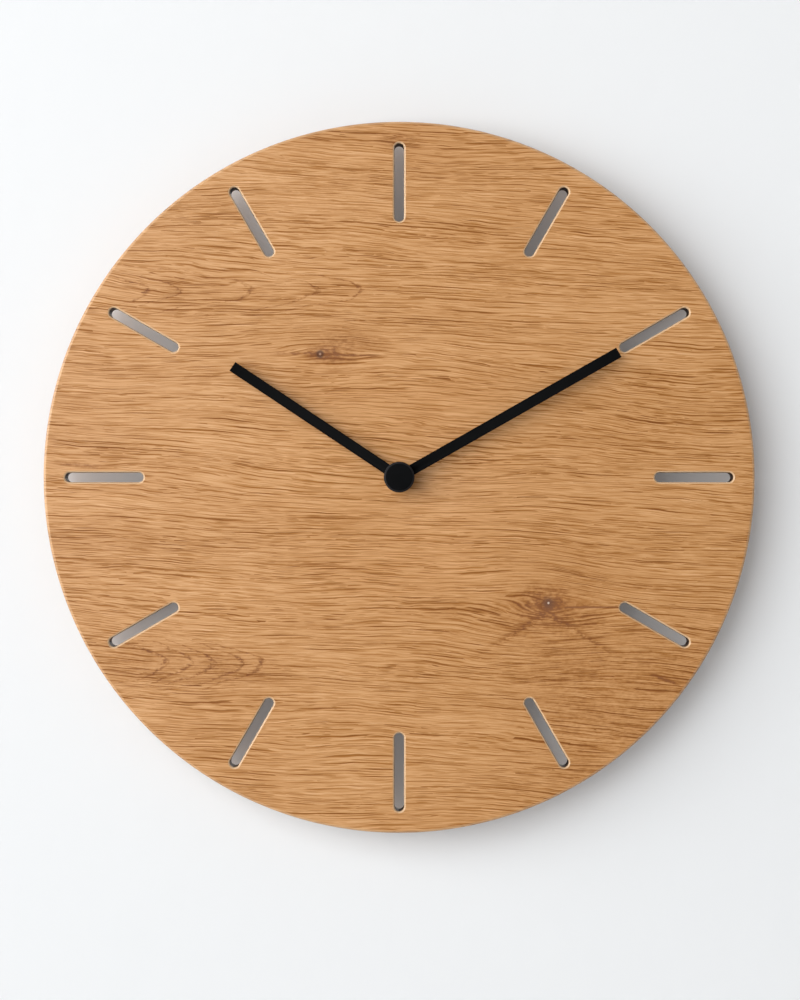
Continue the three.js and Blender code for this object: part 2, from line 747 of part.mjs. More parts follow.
function makePlate() {
  const pivot = circle(arborRadius + runningFit, 12);
  const moved = (outline, point) => outline.map((p) => p.clone().add(point));
  const pass = centreModule * (smallPinionTeeth / 2 + pinionAddendum) + seat;
  const holes = [moved(pivot, idlerArbor), moved(pivot, rotorArbor), circle(pass, 16, thirdArbor),
    circle(minutePipeBore + closeSeat, 12), circle(minuteArborRadius + holeClearance, 12, minuteArbor)];
  const outline = roundedBox(-insideX + closeSeat, -roomBelow + closeSeat, plateRight, insideY - closeSeat,
    plateCorner, 2);
  const sheet = prism(outline, holes, plateBack, plateFront);
  const pillar = rod(pillarRadius, circuitFront + closeSeat, plateBack + plateThickness / 2, 10);
  return join(sheet, ...circuitPillars().map((point) => at(pillar, point)));
}

// Arbors and wheels, each modelled about its own axis
function makeHourWheel() {
  const outline = wheelOutline(hourWheelTeeth, hourModule, hourWheelPhase);
  const hole = circle(hourPipeBore + hourPipeWall / 2, 16);
  const wheel = prism(outline, [hole], hourWheelBack, hourWheelFront);
  const hub = tube(hourPipeBore, hourHubRadius, hourWheelBack, hourHubFront, 16);
  const pipe = tube(hourPipeBore, hourPipeRadius, hourWheelBack, hourPipeFront, 16);
  return join(wheel, hub, pipe);
}

function makeMinuteWheel() {
  const rim = motionModule * (minuteWheelTeeth / 2 - 2);
  const holes = webHoles(hourModule * minutePinionTeeth / 2 + hourModule, rim, webHoleCount);
  const wheel = prism(wheelOutline(minuteWheelTeeth, motionModule, minuteWheelPhase), holes,
    minuteWheelBack, minuteWheelFront);
  const pinion = prism(pinionOutline(minutePinionTeeth, hourModule, 0), [],
    minuteWheelFront - wheelThickness / 2, hourWheelFront + pinionOverrun);
  const arbor = rod(minuteArborRadius, knobBack + knobWall + endPlay, caseInside - endPlay, 12);
  return join(wheel, pinion, arbor);
}

// Minute pipe: it carries the minute hand and the cannon pinion, and a collar holds the centre wheel on it.
function makeMinutePipe() {
  const collarBack = plateFront + endPlay;
  const step = minutePipeRadius - minutePipeStep;
  const pipe = turned([[minutePipeBore, collarBack], [minutePipeCollar, collarBack],
    [minutePipeCollar, centreWheelBack - closeSeat], [minutePipeRadius, centreWheelBack - closeSeat],
    [minutePipeRadius, minuteHandBack - closeSeat], [step, minuteHandBack - closeSeat],
    [step, minutePipeFront], [minutePipeBore, minutePipeFront], [minutePipeBore, collarBack]], 16);
  const hole = circle((minutePipeBore + minutePipeRadius) / 2, 12);
  const cannon = prism(pinionOutline(cannonTeeth, motionModule, 0), [hole],
    minuteWheelBack - pinionOverrun, minuteWheelFront + pinionOverrun);
  return join(pipe, cannon);
}

// Centre wheel: curved slots free three arms, which grip the minute pipe as a clutch.
function makeCentreWheel() {
  const bore = circle(minutePipeRadius + runningFit, 20);
  const slotInner = centreModule * centreWheelTeeth / 4;
  const slotOuter = slotInner + clutchSlotWidth;
  const holes = [];
  for (let i = 0; i < clutchArmCount; i += 1) {
    const start = i * TURN / clutchArmCount;
    const end = start + clutchSlotShare * TURN / clutchArmCount;
    holes.push([...arc(centreArbor, slotOuter, start, end, 7),
      ...arc(centreArbor, slotInner, end, start, 7)]);
  }
  const outline = wheelOutline(centreWheelTeeth, centreModule, 0);
  return prism(outline, [bore, ...holes], centreWheelBack, centreWheelFront);
}

function makeThirdWheel() {
  const rim = thirdModule * (thirdWheelTeeth / 2 - 2);
  const holes = webHoles(smallPinionTeeth * centreModule / 2, rim, webHoleCount);
  const outline = wheelOutline(thirdWheelTeeth, thirdModule, 0);
  const wheel = prism(outline, holes, thirdWheelBack, thirdWheelFront);
  const pinion = prism(pinionOutline(smallPinionTeeth, centreModule, thirdPinionPhase), [],
    centreWheelBack - pinionOverrun, centreWheelFront + pinionOverrun);
  return join(wheel, pinion, rod(arborRadius, coverInside + endPlay, caseInside - endPlay));
}

function makeSecondsWheel() {
  const rim = secondsModule * (secondsWheelTeeth / 2 - 2);
  const holes = webHoles(smallPinionTeeth * thirdModule / 2, rim, webHoleCount);
  const outline = wheelOutline(secondsWheelTeeth, secondsModule, 0);
  const wheel = prism(outline, holes, secondsWheelBack, secondsWheelFront);
  const pinion = prism(pinionOutline(smallPinionTeeth, thirdModule, secondsPinionPhase), [],
    secondsWheelBack + wheelThickness / 2, thirdWheelFront + pinionOverrun);
  return join(wheel, pinion, rod(arborRadius, coverInside + endPlay, minutePipeFront - endPlay));
}

function makeIdlerWheel() {
  const wheel = prism(wheelOutline(idlerWheelTeeth, rotorModule, 0), [], idlerWheelBack, idlerWheelFront);
  const pinion = prism(pinionOutline(smallPinionTeeth, secondsModule, idlerPinionPhase), [],
    idlerWheelBack + wheelThickness / 2, secondsWheelFront + pinionOverrun);
  return join(wheel, pinion, rod(arborRadius, coverInside + endPlay, plateFront));
}

function makeRotorArbor() {
  const pinion = prism(pinionOutline(smallPinionTeeth, rotorModule, rotorPinionPhase), [],
    idlerWheelBack - pinionOverrun, idlerWheelFront + pinionOverrun);
  return join(pinion, rod(arborRadius, coverInside + endPlay, plateFront));
}

function makeMagnet() {
  const front = plateBack - endPlay;
  return tube(arborRadius + closeSeat, magnetRadius, front - magnetThickness, front, 16);
}

// Setting knob: a fluted thumb wheel on the end of the minute wheel's arbor.
const wellFront = secondsWheelBack - endPlay;
const wellFloorBack = wellFront - knobWellFloor;
const knobBack = caseBack + closeSeat;

function makeKnob() {
  const outline = [];
  for (let i = 0; i < 2 * knobFlutes; i += 1) {
    const angle = i * Math.PI / knobFlutes;
    const half = Math.PI / knobFlutes / 4;
    const radius = i % 2 ? knobRadius - knobFluteDepth : knobRadius;
    outline.push(polar(radius, angle - half), polar(radius, angle + half));
  }
  const blank = prism(outline, [], knobBack, wellFloorBack - endPlay);
  const bore = rod(minuteArborRadius + closeSeat, knobBack + knobWall, wellFloorBack + cutThrough, 12);
  return cut(blank, bore);
}

// Motor: a stator with a hole round the magnet and two legs, joined by the core that carries the coil.
function makeStator() {
  const half = statorLegWidth / 2;
  const left = rotorArbor.x - half;
  const right = coilX + half;
  const slab = (x0, y0, x1, y1) => prism(box(x0, y0, x1, y1), [], statorBack, statorFront);
  const bar = slab(left, lowerLeg - half, rotorArbor.x + half, upperLeg + half);
  const legs = [lowerLeg, upperLeg].map((y) => slab(left, y - half, right, y + half));
  const ring = at(rod(statorHole + statorRing, statorBack, statorFront, 24), rotorArbor);
  const opening = at(rod(statorHole, statorBack - cutThrough, statorFront + cutThrough, 24), rotorArbor);
  const notch = rod(statorNotch, statorBack - cutThrough, statorFront + cutThrough, 8);
  const notches = [QUARTER / 2, QUARTER / 2 + Math.PI].map((angle) => (
    at(notch, polar(statorHole, angle).add(rotorArbor))));
  return cut(join(bar, ...legs, ring), opening, ...notches);
}

function makeCore() {
  const half = statorLegWidth / 2;
  return prism(roundedBox(coilX - half, lowerLeg - half, coilX + half, upperLeg + half,
    coreCorner, 2), [], coreBack, coreFront);
}

// The coil's pieces are made along Z, then laid along the core.
function alongCore(solid) {
  const middle = [coilX, (coilTop + coilBottom) / 2, (coreFront + coreBack) / 2];
  return solid.rotate([-90, 0, 0]).translate(middle);
}

function makeBobbin() {
  const half = coilLength / 2;
  const wide = statorLegWidth / 2 + closeSeat;
  const high = coreThickness / 2 + closeSeat;
  const hole = box(-wide, -high, wide, high);
  const flange = (back) => prism(circle(coilFlangeRadius, 20), [hole], back, back + coilFlangeThickness);
  const hub = prism(circle(coilHubRadius, 20), [hole], -half, half);
  return alongCore(join(hub, flange(-half), flange(half - coilFlangeThickness)));
}

function makeWinding() {
  const half = coilLength / 2 - coilFlangeThickness - closeSeat;
  return alongCore(tube(coilHubRadius + closeSeat, coilWindingRadius, -half, half, 24));
}

// Electronics
function makeCircuit() {
  const outline = box(circuitLeft, circuitTop - circuitSize.y, circuitLeft + circuitSize.x, circuitTop);
  return prism(outline, [], circuitFront - circuitThickness, circuitFront);
}

function makeChipCover() {
  const base = circuitFront - circuitThickness - closeSeat;
  const profile = [[0, base - chipHeight]];
  for (let i = 3; i >= 0; i -= 1) {
    const point = polar(1, i * QUARTER / 4);
    profile.push([chipRadius * point.x, base - chipHeight * point.y]);
  }
  profile.push([0, base]);
  const middle = new THREE.Vector2(circuitLeft + circuitSize.x / 2, circuitTop - chipDrop);
  return at(turned(profile, 16), middle);
}

function makeCrystal() {
  const half = crystalLength / 2;
  const can = turned([[0, -half], [crystalRadius, -half], [crystalRadius, half - crystalRadius / 2],
    [crystalRadius / 2, half], [0, half]], 12);
  const depth = circuitFront - circuitThickness - closeSeat - crystalRadius;
  const x = circuitLeft + circuitSize.x / 2;
  return can.rotate([0, 90, 0]).translate([x, circuitTop - 2 * crystalRadius, depth]);
}

// Battery and its contacts
function makeBattery() {
  const shoulder = batteryLength - batteryNubLength;
  return turned([[0, 0], [batteryRadius - batteryShoulder, 0], [batteryRadius, batteryShoulder],
    [batteryRadius, shoulder - batteryShoulder], [batteryRadius - batteryShoulder, shoulder],
    [batteryNubRadius, shoulder], [batteryNubRadius, batteryLength], [0, batteryLength]], 24)
    .rotate([0, -90, 0]).translate([batteryLength / 2, batteryCentre, batteryBack + batteryRadius]);
}

const contactX = insideX - closeSeat - contactThickness / 2;
const contactReach = insideX - batteryLength / 2 - closeSeat - contactThickness - seat;
const contactBottom = bayBottom + contactEndRoom;
const contactTop = bayTop - contactEndRoom;
const stripBack = circuitFront + closeSeat;
const stripFront = stripBack + contactHeight;
const padY = circuitTop - circuitSize.y + padInset;

function contactPlate(points) {
  return prism(ribbon(points, contactThickness), [], caseBack + contactHeight, caseInside - caseWall);
}

function contactStrip(...points) {
  return prism(ribbon(outlineOf(points), contactThickness), [], stripBack, stripFront);
}

function makePositiveContact() {
  const plate = contactPlate(outlineOf([[-contactX, contactBottom], [-contactX, contactTop]]));
  const dimple = rod(contactDimpleRadius, 0, contactReach + contactThickness / 2, 12).rotate([0, 90, 0])
    .translate([-contactX, batteryCentre, batteryBack + batteryRadius]);
  const strip = contactStrip([-contactX, batteryCentre], [-contactX, padY], [circuitLeft + padInset, padY]);
  return join(plate, dimple, strip);
}

function makeNegativeContact() {
  const bow = [new THREE.Vector2(contactX, contactBottom)];
  for (let i = 0; i <= 6; i += 1) {
    const along = i / 3 - 1;
    const y = batteryCentre + along * (batteryRadius - batteryShoulder) * contactBowShare;
    bow.push(new THREE.Vector2(contactX - contactReach * (1 - along * along), y));
  }
  bow.push(new THREE.Vector2(contactX, contactTop));
  const run = -roomBelow + seat + contactThickness / 2;
  const x = circuitLeft + 2 * padInset;
  const strip = contactStrip([contactX, contactTop - 1], [contactX, run], [x, run], [x, padY]);
  return join(contactPlate(bow), strip);
}

// The clock, stood upright: the dial faces -Y and the nail's bearing point in the hanger is the origin.
const clock = new THREE.Group();
const dialFixing = new THREE.Group();
const movement = new THREE.Group();
const hands = new THREE.Group();
clock.add(dialFixing, movement, hands);

dialFixing.add(
  part('dial_board', oak, makeBoard()),
  part('hanger_plate', steel, makeHanger()),
  part('rubber_washer', rubber, makeRubberWasher()),
  part('brass_washer', brass, makeBrassWasher()),
  part('hex_nut', brass, makeNut()),
);
footAngles.forEach((angle, i) => {
  const place = polar(footRingRadius, angle);
  dialFixing.add(part(`foot_${footNames[i]}`, rubber, makeFoot(), place));
  dialFixing.add(part(`foot_screw_${footNames[i]}`, steel, makeScrew(), place));
});

hands.add(
  part('hour_hand', matteBlack, makeHourHand(), centreArbor, -hourAngle),
  part('minute_hand', matteBlack, makeMinuteHand(), centreArbor, -minuteAngle),
  part('centre_cap', matteBlack, makeCap()),
);

movement.add(
  part('front_case', casePlastic, makeFrontCase()),
  part('threaded_bush', brass, makeBush()),
  part('middle_plate', gearPlastic, makePlate()),
  part('back_cover', casePlastic, makeCover()),
  part('hour_wheel', gearPlastic, makeHourWheel()),
  part('minute_wheel', gearPlastic, makeMinuteWheel(), minuteArbor),
  part('minute_pipe', brass, makeMinutePipe()),
  part('centre_wheel', gearPlastic, makeCentreWheel()),
  part('third_wheel', gearPlastic, makeThirdWheel(), thirdArbor),
  part('seconds_wheel', gearPlastic, makeSecondsWheel()),
  part('idler_wheel', gearPlastic, makeIdlerWheel(), idlerArbor),
  part('rotor_arbor', gearPlastic, makeRotorArbor(), rotorArbor),
  part('rotor_magnet', magnetic, makeMagnet(), rotorArbor),
  part('setting_knob', casePlastic, makeKnob(), minuteArbor),
  part('stator', steel, makeStator()),
  part('coil_core', steel, makeCore()),
  part('coil_bobbin', gearPlastic, makeBobbin()),
  part('coil_winding', copper, makeWinding()),
  part('circuit_board', laminate, makeCircuit()),
  part('chip_cover', matteBlack, makeChipCover()),
  part('quartz_crystal', steel, makeCrystal()),
  part('battery_cell', batteryCan, makeBattery()),
  part('positive_contact', steel, makePositiveContact()),
  part('negative_contact', steel, makeNegativeContact()),
);

clock.rotation.x = QUARTER;
clock.position.set(0, hookDepth, -hookHeight);

export default clock;
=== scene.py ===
"""Looks of a wooden wall clock: an oak board with twelve slots, black bar hands and a battery movement."""

import math

import bmesh
import bpy
import numpy as np
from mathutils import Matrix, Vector


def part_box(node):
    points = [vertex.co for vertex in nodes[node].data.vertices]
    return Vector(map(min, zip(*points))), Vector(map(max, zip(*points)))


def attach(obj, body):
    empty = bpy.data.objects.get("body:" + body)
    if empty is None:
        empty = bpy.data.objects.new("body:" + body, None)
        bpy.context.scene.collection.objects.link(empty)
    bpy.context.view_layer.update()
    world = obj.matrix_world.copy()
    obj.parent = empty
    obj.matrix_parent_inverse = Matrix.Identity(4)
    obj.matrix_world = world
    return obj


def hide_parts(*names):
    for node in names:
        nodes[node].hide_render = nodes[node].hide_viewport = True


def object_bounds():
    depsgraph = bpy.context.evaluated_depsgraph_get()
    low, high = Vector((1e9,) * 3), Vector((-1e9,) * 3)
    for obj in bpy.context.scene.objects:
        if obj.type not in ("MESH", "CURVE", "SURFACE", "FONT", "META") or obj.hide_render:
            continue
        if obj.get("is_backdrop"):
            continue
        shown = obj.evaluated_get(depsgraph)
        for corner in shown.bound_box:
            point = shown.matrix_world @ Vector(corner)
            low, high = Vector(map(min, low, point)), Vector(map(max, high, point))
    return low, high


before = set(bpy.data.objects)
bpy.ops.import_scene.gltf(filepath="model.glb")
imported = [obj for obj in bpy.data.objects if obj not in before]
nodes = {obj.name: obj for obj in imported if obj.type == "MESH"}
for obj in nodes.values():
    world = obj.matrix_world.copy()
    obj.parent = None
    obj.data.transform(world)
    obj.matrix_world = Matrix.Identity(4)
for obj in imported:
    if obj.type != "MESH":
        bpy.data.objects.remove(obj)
cad_low, cad_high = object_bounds()


# The dial board is a disc of plain-sawn oak, 350 by 12 mm, under a thin satin oil. It is turned to size with
# a rounded rim, twelve slots are routed through it, and a pocket behind takes the movement.
MM = 0.001
TURN = 2 * math.pi
board_low, board_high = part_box("dial_board")
axis_x = (board_low.x + board_high.x) / 2
axis_z = (board_low.z + board_high.z) / 2
board_front = board_low.y / MM
board_back = board_high.y / MM
board_radius = (board_high.x - board_low.x) / 2 / MM
board_thick = board_back - board_front
rim_round = 1.5
slot_half = 2.35
slot_length = 38.5
slot_margin = 10.7
slot_round = 1.0
slot_tip = board_radius - slot_margin - slot_half
slot_root = board_radius - slot_margin - slot_length + slot_half
bush_hole = 4.3
pocket_depth = 6.0
pocket_floor = board_thick - pocket_depth
pocket_round = 0.5
pocket_corner = 3.0
pocket_gap = 1.0
hanger_room = 3.3
case_low, case_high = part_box("front_case")
pocket_half = (case_high.x - case_low.x) / 2 / MM + pocket_gap
pocket_bottom = (case_low.z - axis_z) / MM - pocket_gap
pocket_top = (case_high.z - axis_z) / MM + hanger_room
sector_inner = 116.0
sector_outer = 170.0
sector_lean = math.radians(15)
end_steps = 32
side_steps = 8
rim_steps = 12 * end_steps


def weld(name, *patches):
    """Joins grids of points into one closed mesh, in millimetres about the dial's axis.
    A patch is an array (rows, columns, 3) of x to the right, height, and depth towards the wall. Neighbouring
    points make quads, and edges that meet are merged."""
    corners, quads, start = [], [], 0
    for patch in patches:
        rows, columns = patch.shape[:2]
        index = start + np.arange(rows * columns).reshape(rows, columns)
        around = [index[:-1, :-1], index[1:, :-1], index[1:, 1:], index[:-1, 1:]]
        quads.append(np.stack(around, -1).reshape(-1, 4))
        corners.append(patch.reshape(-1, 3))
        start += rows * columns
    flat = np.concatenate(corners)
    world = np.stack([flat[:, 0] * MM + axis_x, flat[:, 2] * MM, flat[:, 1] * MM + axis_z], -1)
    mesh = bpy.data.meshes.new(name)
    mesh.from_pydata(world.tolist(), [], np.concatenate(quads).tolist())
    work = bmesh.new()
    work.from_mesh(mesh)
    bmesh.ops.remove_doubles(work, verts=work.verts, dist=2e-6)
    bmesh.ops.dissolve_degenerate(work, edges=work.edges, dist=1e-7)
    bmesh.ops.recalc_face_normals(work, faces=work.faces)
    for face in work.faces:
        face.smooth = True
    work.to_mesh(mesh)
    work.free()
    piece = bpy.data.objects.new(name, mesh)
    bpy.context.scene.collection.objects.link(piece)
    return piece


def ring_of(angles, radius, depth):
    """Points of a circle about the dial's axis: (r sin a, r cos a), with a clockwise from twelve."""
    return np.stack([radius * np.sin(angles), radius * np.cos(angles), depth + 0 * angles], -1)


def turned_by(angle):
    """The matrix that turns rows of points clockwise about the dial's axis."""
    cosine, sine = math.cos(angle), math.sin(angle)
    return np.array([[cosine, -sine, 0], [sine, cosine, 0], [0, 0, 1]])


def slot_ring(offset):
    """Outline of a slot that stands at twelve, offset outwards, as (across, along the radius): half a turn
    round the centre of each end, joined by straight sides."""
    half = slot_half + offset
    sweep = np.linspace(0, math.pi, end_steps + 1)
    run = np.linspace(slot_tip, slot_root, side_steps + 1)[1:-1]
    outer = np.stack([half * np.cos(sweep), slot_tip + half * np.sin(sweep)], -1)
    left = np.stack([-half + 0 * run, run], -1)
    inner = np.stack([-half * np.cos(sweep), slot_root - half * np.sin(sweep)], -1)
    right = np.stack([half + 0 * run, run[::-1]], -1)
    return np.concatenate([outer, left, inner, right, outer[:1]])


def sector_ring():
    """Edge of the twelfth of the board round that slot, point for point with the slot's outline: two arcs of
    30 degrees about the dial's axis, joined by two radii."""
    sine, cosine = math.sin(sector_lean), math.cos(sector_lean)
    sweep = np.linspace(sector_lean, -sector_lean, end_steps + 1)
    run = np.linspace(sector_outer, sector_inner, side_steps + 1)[1:-1]
    outer = sector_outer * np.stack([np.sin(sweep), np.cos(sweep)], -1)
    left = run[:, None] * np.array([-sine, cosine])
    inner = sector_inner * np.stack([-np.sin(sweep), np.cos(sweep)], -1)
    right = run[::-1, None] * np.array([sine, cosine])
    return np.concatenate([outer, left, inner, right, outer[:1]])


def quarter_round(radius, steps):
    """A quarter circle from the face to the wall, as (distance from the wall, depth under the face):
    r (1 - sin a) and r (1 - cos a)."""
    sweep = np.linspace(0, math.pi / 2, steps + 1)
    return np.stack([radius * (1 - np.sin(sweep)), radius * (1 - np.cos(sweep))], -1)


def through_profile(radius, thickness, steps=6, support=0.15):
    """Section of an edge that is rounded on both faces of a sheet, as (distance from the wall, depth under
    the face). The rows next to each round lie its radius and a short support away, which keeps the shading
    crisp."""
    front = quarter_round(radius, steps)
    back = front[::-1] * [1, -1] + [0, thickness]
    lead = np.array([[radius + support, 0.0]])
    wall = np.array([[0.0, radius + support], [0.0, thickness - radius - support]])
    return np.concatenate([lead, front, wall, back, lead + [0, thickness]])


def pocket_ring(inset):
    """Outline of the pocket, a rectangle with round corners, inset by a distance. It has one point for each
    of the rim's, in the order of the rim's angles, and starts on the same ray."""
    corner_steps = 24
    side = rim_steps // 4 - corner_steps
    radius = pocket_corner
    x = pocket_half - inset - radius
    high = pocket_top - inset - radius
    low = pocket_bottom + inset + radius
    outline = []
    for quarter, (cx, cz) in enumerate(((x, high), (x, low), (-x, low), (-x, high))):
        sweep = (quarter + np.linspace(0, 1, corner_steps + 1)) * TURN / 4
        outline.append(np.stack([cx + radius * np.sin(sweep), cz + radius * np.cos(sweep)], -1))
    joined = []
    for quarter, corner in enumerate(outline):
        following = outline[(quarter + 1) % 4][0]
        share = np.linspace(0, 1, side + 1)[1:-1, None]
        joined += [corner, corner[-1] * (1 - share) + following * share]
    points = np.concatenate(joined)
    bearing = np.arctan2(points[:, 0], points[:, 1]) - sector_lean
    points = np.roll(points, -int(np.argmin(np.abs(np.angle(np.exp(1j * bearing))))), 0)
    return np.concatenate([points, points[:1]])


def slot_patches():
    """One twelfth of the board: the flat front and back round its slot, which blend from the slot's outline
    to the sector's edge, and the slot's walls with their rounds."""
    edge = through_profile(slot_round, board_thick)
    rings = np.stack([slot_ring(offset) for offset, _ in edge])
    depths = np.broadcast_to(board_front + edge[:, 1, None], rings.shape[:2])
    share = np.array([0, 0.12, 0.45, 1])[:, None, None]
    patches = []
    for side, ring in ((board_front, rings[0]), (board_back, rings[-1])):
        flat = ring * (1 - share) + sector_ring() * share
        patches.append(np.concatenate([flat, side + 0 * flat[..., :1]], -1))
    return [*patches, np.concatenate([rings, depths[..., None]], -1)]


def board_patches():
    """The board's skin: twelve sectors with their slots, the rim, the middle of the front with the bush's
    hole, and the back with the pocket. The rim and the hole are circles about the dial's axis."""
    sector = slot_patches()
    patches = [patch @ turned_by(hour * TURN / 12) for hour in range(12) for patch in sector]
    around = np.linspace(0, TURN, rim_steps + 1) + sector_lean
    flat = board_radius - sector_outer
    rim = np.concatenate([[[flat, 0]], through_profile(rim_round, board_thick), [[flat, board_thick]]])
    rim_rings = [ring_of(around, board_radius - inset, board_front + depth) for inset, depth in rim]
    hole = [(sector_inner, 0), (70, 0), (bush_hole + 0.4, 0), (bush_hole + 0.2, 0.02), (bush_hole, 0.2),
            (bush_hole, 0.4), (bush_hole, pocket_floor - 0.2), (bush_hole, pocket_floor)]
    hole_rings = [ring_of(around, radius, board_front + depth) for radius, depth in hole]
    pocket = [(-pocket_round, 0), (-pocket_round / 2, 0.02), (0, 0.3), (0, 0.5),
              (0, pocket_depth - 0.3), (0, pocket_depth), (0.3, pocket_depth)]
    pocket_rings = [np.concatenate([pocket_ring(inset), board_back - depth + 0 * around[:, None]], -1)
                    for inset, depth in pocket]
    back = ring_of(around, sector_inner, board_back)
    floor = ring_of(around, bush_hole, board_front + pocket_floor)
    return [*patches, np.stack(rim_rings), np.stack(hole_rings), np.stack([back, *pocket_rings, floor])]


class Signal:
    """A number, vector or colour that runs from one shader node to the next. Sums on it add Math nodes."""

    def __init__(self, finish, socket):
        self.finish = finish
        self.socket = socket

    def math(self, operation, *others):
        values = {i: value for i, value in enumerate((self, *others))}
        return self.finish.node("ShaderNodeMath", {"operation": operation}, values)

    def __add__(self, other):
        return self.math("ADD", other)

    def __sub__(self, other):
        return self.math("SUBTRACT", other)

    def __rsub__(self, other):
        return self.finish.node("ShaderNodeMath", {"operation": "SUBTRACT"}, {0: other, 1: self})

    def __mul__(self, other):
        return self.math("MULTIPLY", other)

    def __truediv__(self, other):
        return self.math("DIVIDE", other)

    def __pow__(self, other):
        return self.math("POWER", other)

    def __neg__(self):
        return self.math("MULTIPLY", -1.0)

    __radd__ = __add__
    __rmul__ = __mul__

    def exp(self):
        return self.math("EXPONENT")

    def size(self):
        return self.math("ABSOLUTE")

    def within(self):
        return self.finish.node("ShaderNodeClamp", {}, {"Value": self})

    def rise(self, start, end):
        """0 at start, 1 at end, and a smooth step between them."""
        values = {"Value": self, "From Min": start, "From Max": end}
        return self.finish.node("ShaderNodeMapRange", {"interpolation_type": "SMOOTHSTEP"}, values)


class Finish:
    """A material in the making: one method adds any node, and the last ones hand the parts to the shader."""

    def __init__(self, name):
        self.material = bpy.data.materials.new(name)
        self.material.use_nodes = True
        self.tree = self.material.node_tree
        self.tree.nodes.clear()

    def node(self, kind, settings, values, output=0):
        """Adds a node, sets it up, feeds its sockets, and returns the outputs that are asked for."""
        made = self.tree.nodes.new(kind)
        for name, value in settings.items():
            if name == "stops":
                ramp = made.color_ramp.elements
                while len(ramp) < len(value):
                    ramp.new(1.0)
                for stop, (place, colour) in zip(ramp, value):
                    stop.position = place
                    stop.color = (*colour, 1.0)
            else:
                setattr(made, name, value)
        for name, value in values.items():
            if isinstance(value, Signal):
                self.tree.links.new(value.socket, made.inputs[name])
            else:
                made.inputs[name].default_value = value
        if isinstance(output, tuple):
            return tuple(Signal(self, made.outputs[name]) for name in output)
        return Signal(self, made.outputs[output])

    def place(self, centre=(0, 0, 0)):
        """Object coordinates in millimetres from a point, as a vector."""
        here = self.node("ShaderNodeTexCoord", {}, {}, "Object")
        offset = tuple(-c / MM for c in centre)
        values = {"Vector": here, "Location": offset, "Scale": (1 / MM,) * 3}
        return self.node("ShaderNodeMapping", {}, values)

    def parts(self, vector):
        return self.node("ShaderNodeSeparateXYZ", {}, {0: vector}, ("X", "Y", "Z"))

    def vector(self, x, y, z):
        return self.node("ShaderNodeCombineXYZ", {}, {0: x, 1: y, 2: z})

    def noise(self, vector, scale=1.0, detail=2.0, roughness=0.5):
        values = {"Vector": vector, "Scale": scale, "Detail": detail, "Roughness": roughness}
        return self.node("ShaderNodeTexNoise", {}, values)

    def blend(self, share, first, second):
        """first where share is 0 and second where it is 1, as a colour."""
        colours = {}
        for socket, colour in ((6, first), (7, second)):
            colours[socket] = colour if isinstance(colour, Signal) else (*colour, 1.0)
        return self.node("ShaderNodeMix", {"data_type": "RGBA"}, {0: share, **colours}, 2)

    def bump(self, height, depth_mm, strength=1.0):
        values = {"Height": height, "Distance": depth_mm * MM, "Strength": strength}
        return self.node("ShaderNodeBump", {}, values)

    def ends(self, shader):
        """Hands a shader to the output of the material."""
        out = self.tree.nodes.new("ShaderNodeOutputMaterial")
        self.tree.links.new(shader.socket, out.inputs["Surface"])
        return self.material

    def surface(self, **values):
        """Ends the material in one Principled shader, with constants set on its own sockets."""
        sockets = {}
        for name, value in values.items():
            plain = name.replace("_", " ").title().replace("Ior", "IOR")
            sockets[plain] = (*value, 1.0) if isinstance(value, tuple) and len(value) == 3 else value
        return self.ends(self.node("ShaderNodeBsdfPrincipled", {}, sockets, "BSDF"))


def dress(piece, finish, body):
    """Gives a new piece its finish, in its one material slot, and the body that it rides on."""
    piece.data.materials.clear()
    piece.data.materials.append(finish)
    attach(piece, body)
    return piece


# Knots as x, height, half length, reach and push. The eye is the pith of the upper one, and the heart is that
# of the lower one. Rays of the figure as height, bend and the places of their tips. Stains, and two broad
# patches, as x, height, half length, half height, lean and depth: the patch at (118, -112) darkens the lower
# right of the board, and the one of negative depth at (-35, 143) lightens the board near the top.
knots = ((-38.9, 60.6, 26.0, 5.0, 2.0), (72.7, -62.3, 32.0, 9.0, 3.6))
eye_place = knots[0][:2]
bough_place = knots[1][:2]
heart_place = (73.4, -61.8)
rays = (
    (91.8, 0.40, (-123.2, -107.2, -72.0, -39.6, -18.5)),
    (-91.3, 0.22, (-114.0, -101.7, -90.3, -76.5, -66.7)))
stains = (
    (-50.0, 60.9, 13.0, 1.0, 0.0, 0.30),
    (-22.0, 60.0, 14.0, 0.45, -0.02, 0.35),
    (-24.0, 66.0, 17.0, 6.0, 0.0, 0.14),
    (-38.0, 60.6, 7.0, 4.0, 0.0, 0.30),
    (-29.0, 59.5, 8.0, 8.0, 0.0, 0.16),
    (71.5, -62.0, 11.5, 7.5, 0.0, 0.30),
    (72.0, -66.0, 28.0, 13.0, 0.0, 0.15),
    (-104.0, -92.0, 44.0, 13.0, -0.12, 0.12),
    (97.0, -63.9, 12.5, 0.32, 0.0, 1.3),
    (0.2, 166.3, 11.0, 4.0, 0.0, 0.16),
    # Two broad patches follow among the stains: lighter near the top, and darker towards the lower right.
    (-35.0, 143.0, 45.0, 22.0, 0.0, -0.05),
    (118.0, -112.0, 60.0, 45.0, 0.0, 0.16),
    (-158.0, 6.0, 12.0, 1.2, -0.1, 0.25),
    (132.0, -100.0, 7.0, 0.8, -0.4, 0.35))


def growth_layers(oak, u, w, v, ripple):
    """The number of the growth layer at a point: its height, a slight lean and slow waves, less
    2 push a / (1 + a^2) exp(-b^2) for each knot, where a and b are the offsets across and along the grain."""
    slow = oak.noise(oak.vector(u * 0.006, w * 0.02, v * 0.022), detail=1.5)
    quiver = oak.noise(oak.vector(u * 0.11, w * 0.2, v * 0.35), detail=1.0)
    layer = v + u * 0.05 + (slow - 0.5) * 20.0 + (ripple - 0.5) * 3.0 + (quiver - 0.5) * 0.5
    for x, z, wide, reach, push in knots:
        across, along = (v - z) / reach, (u - x) / wide
        layer = layer - across * (2 * push) / (across * across + 1.0) * (-(along * along)).exp()
    return layer


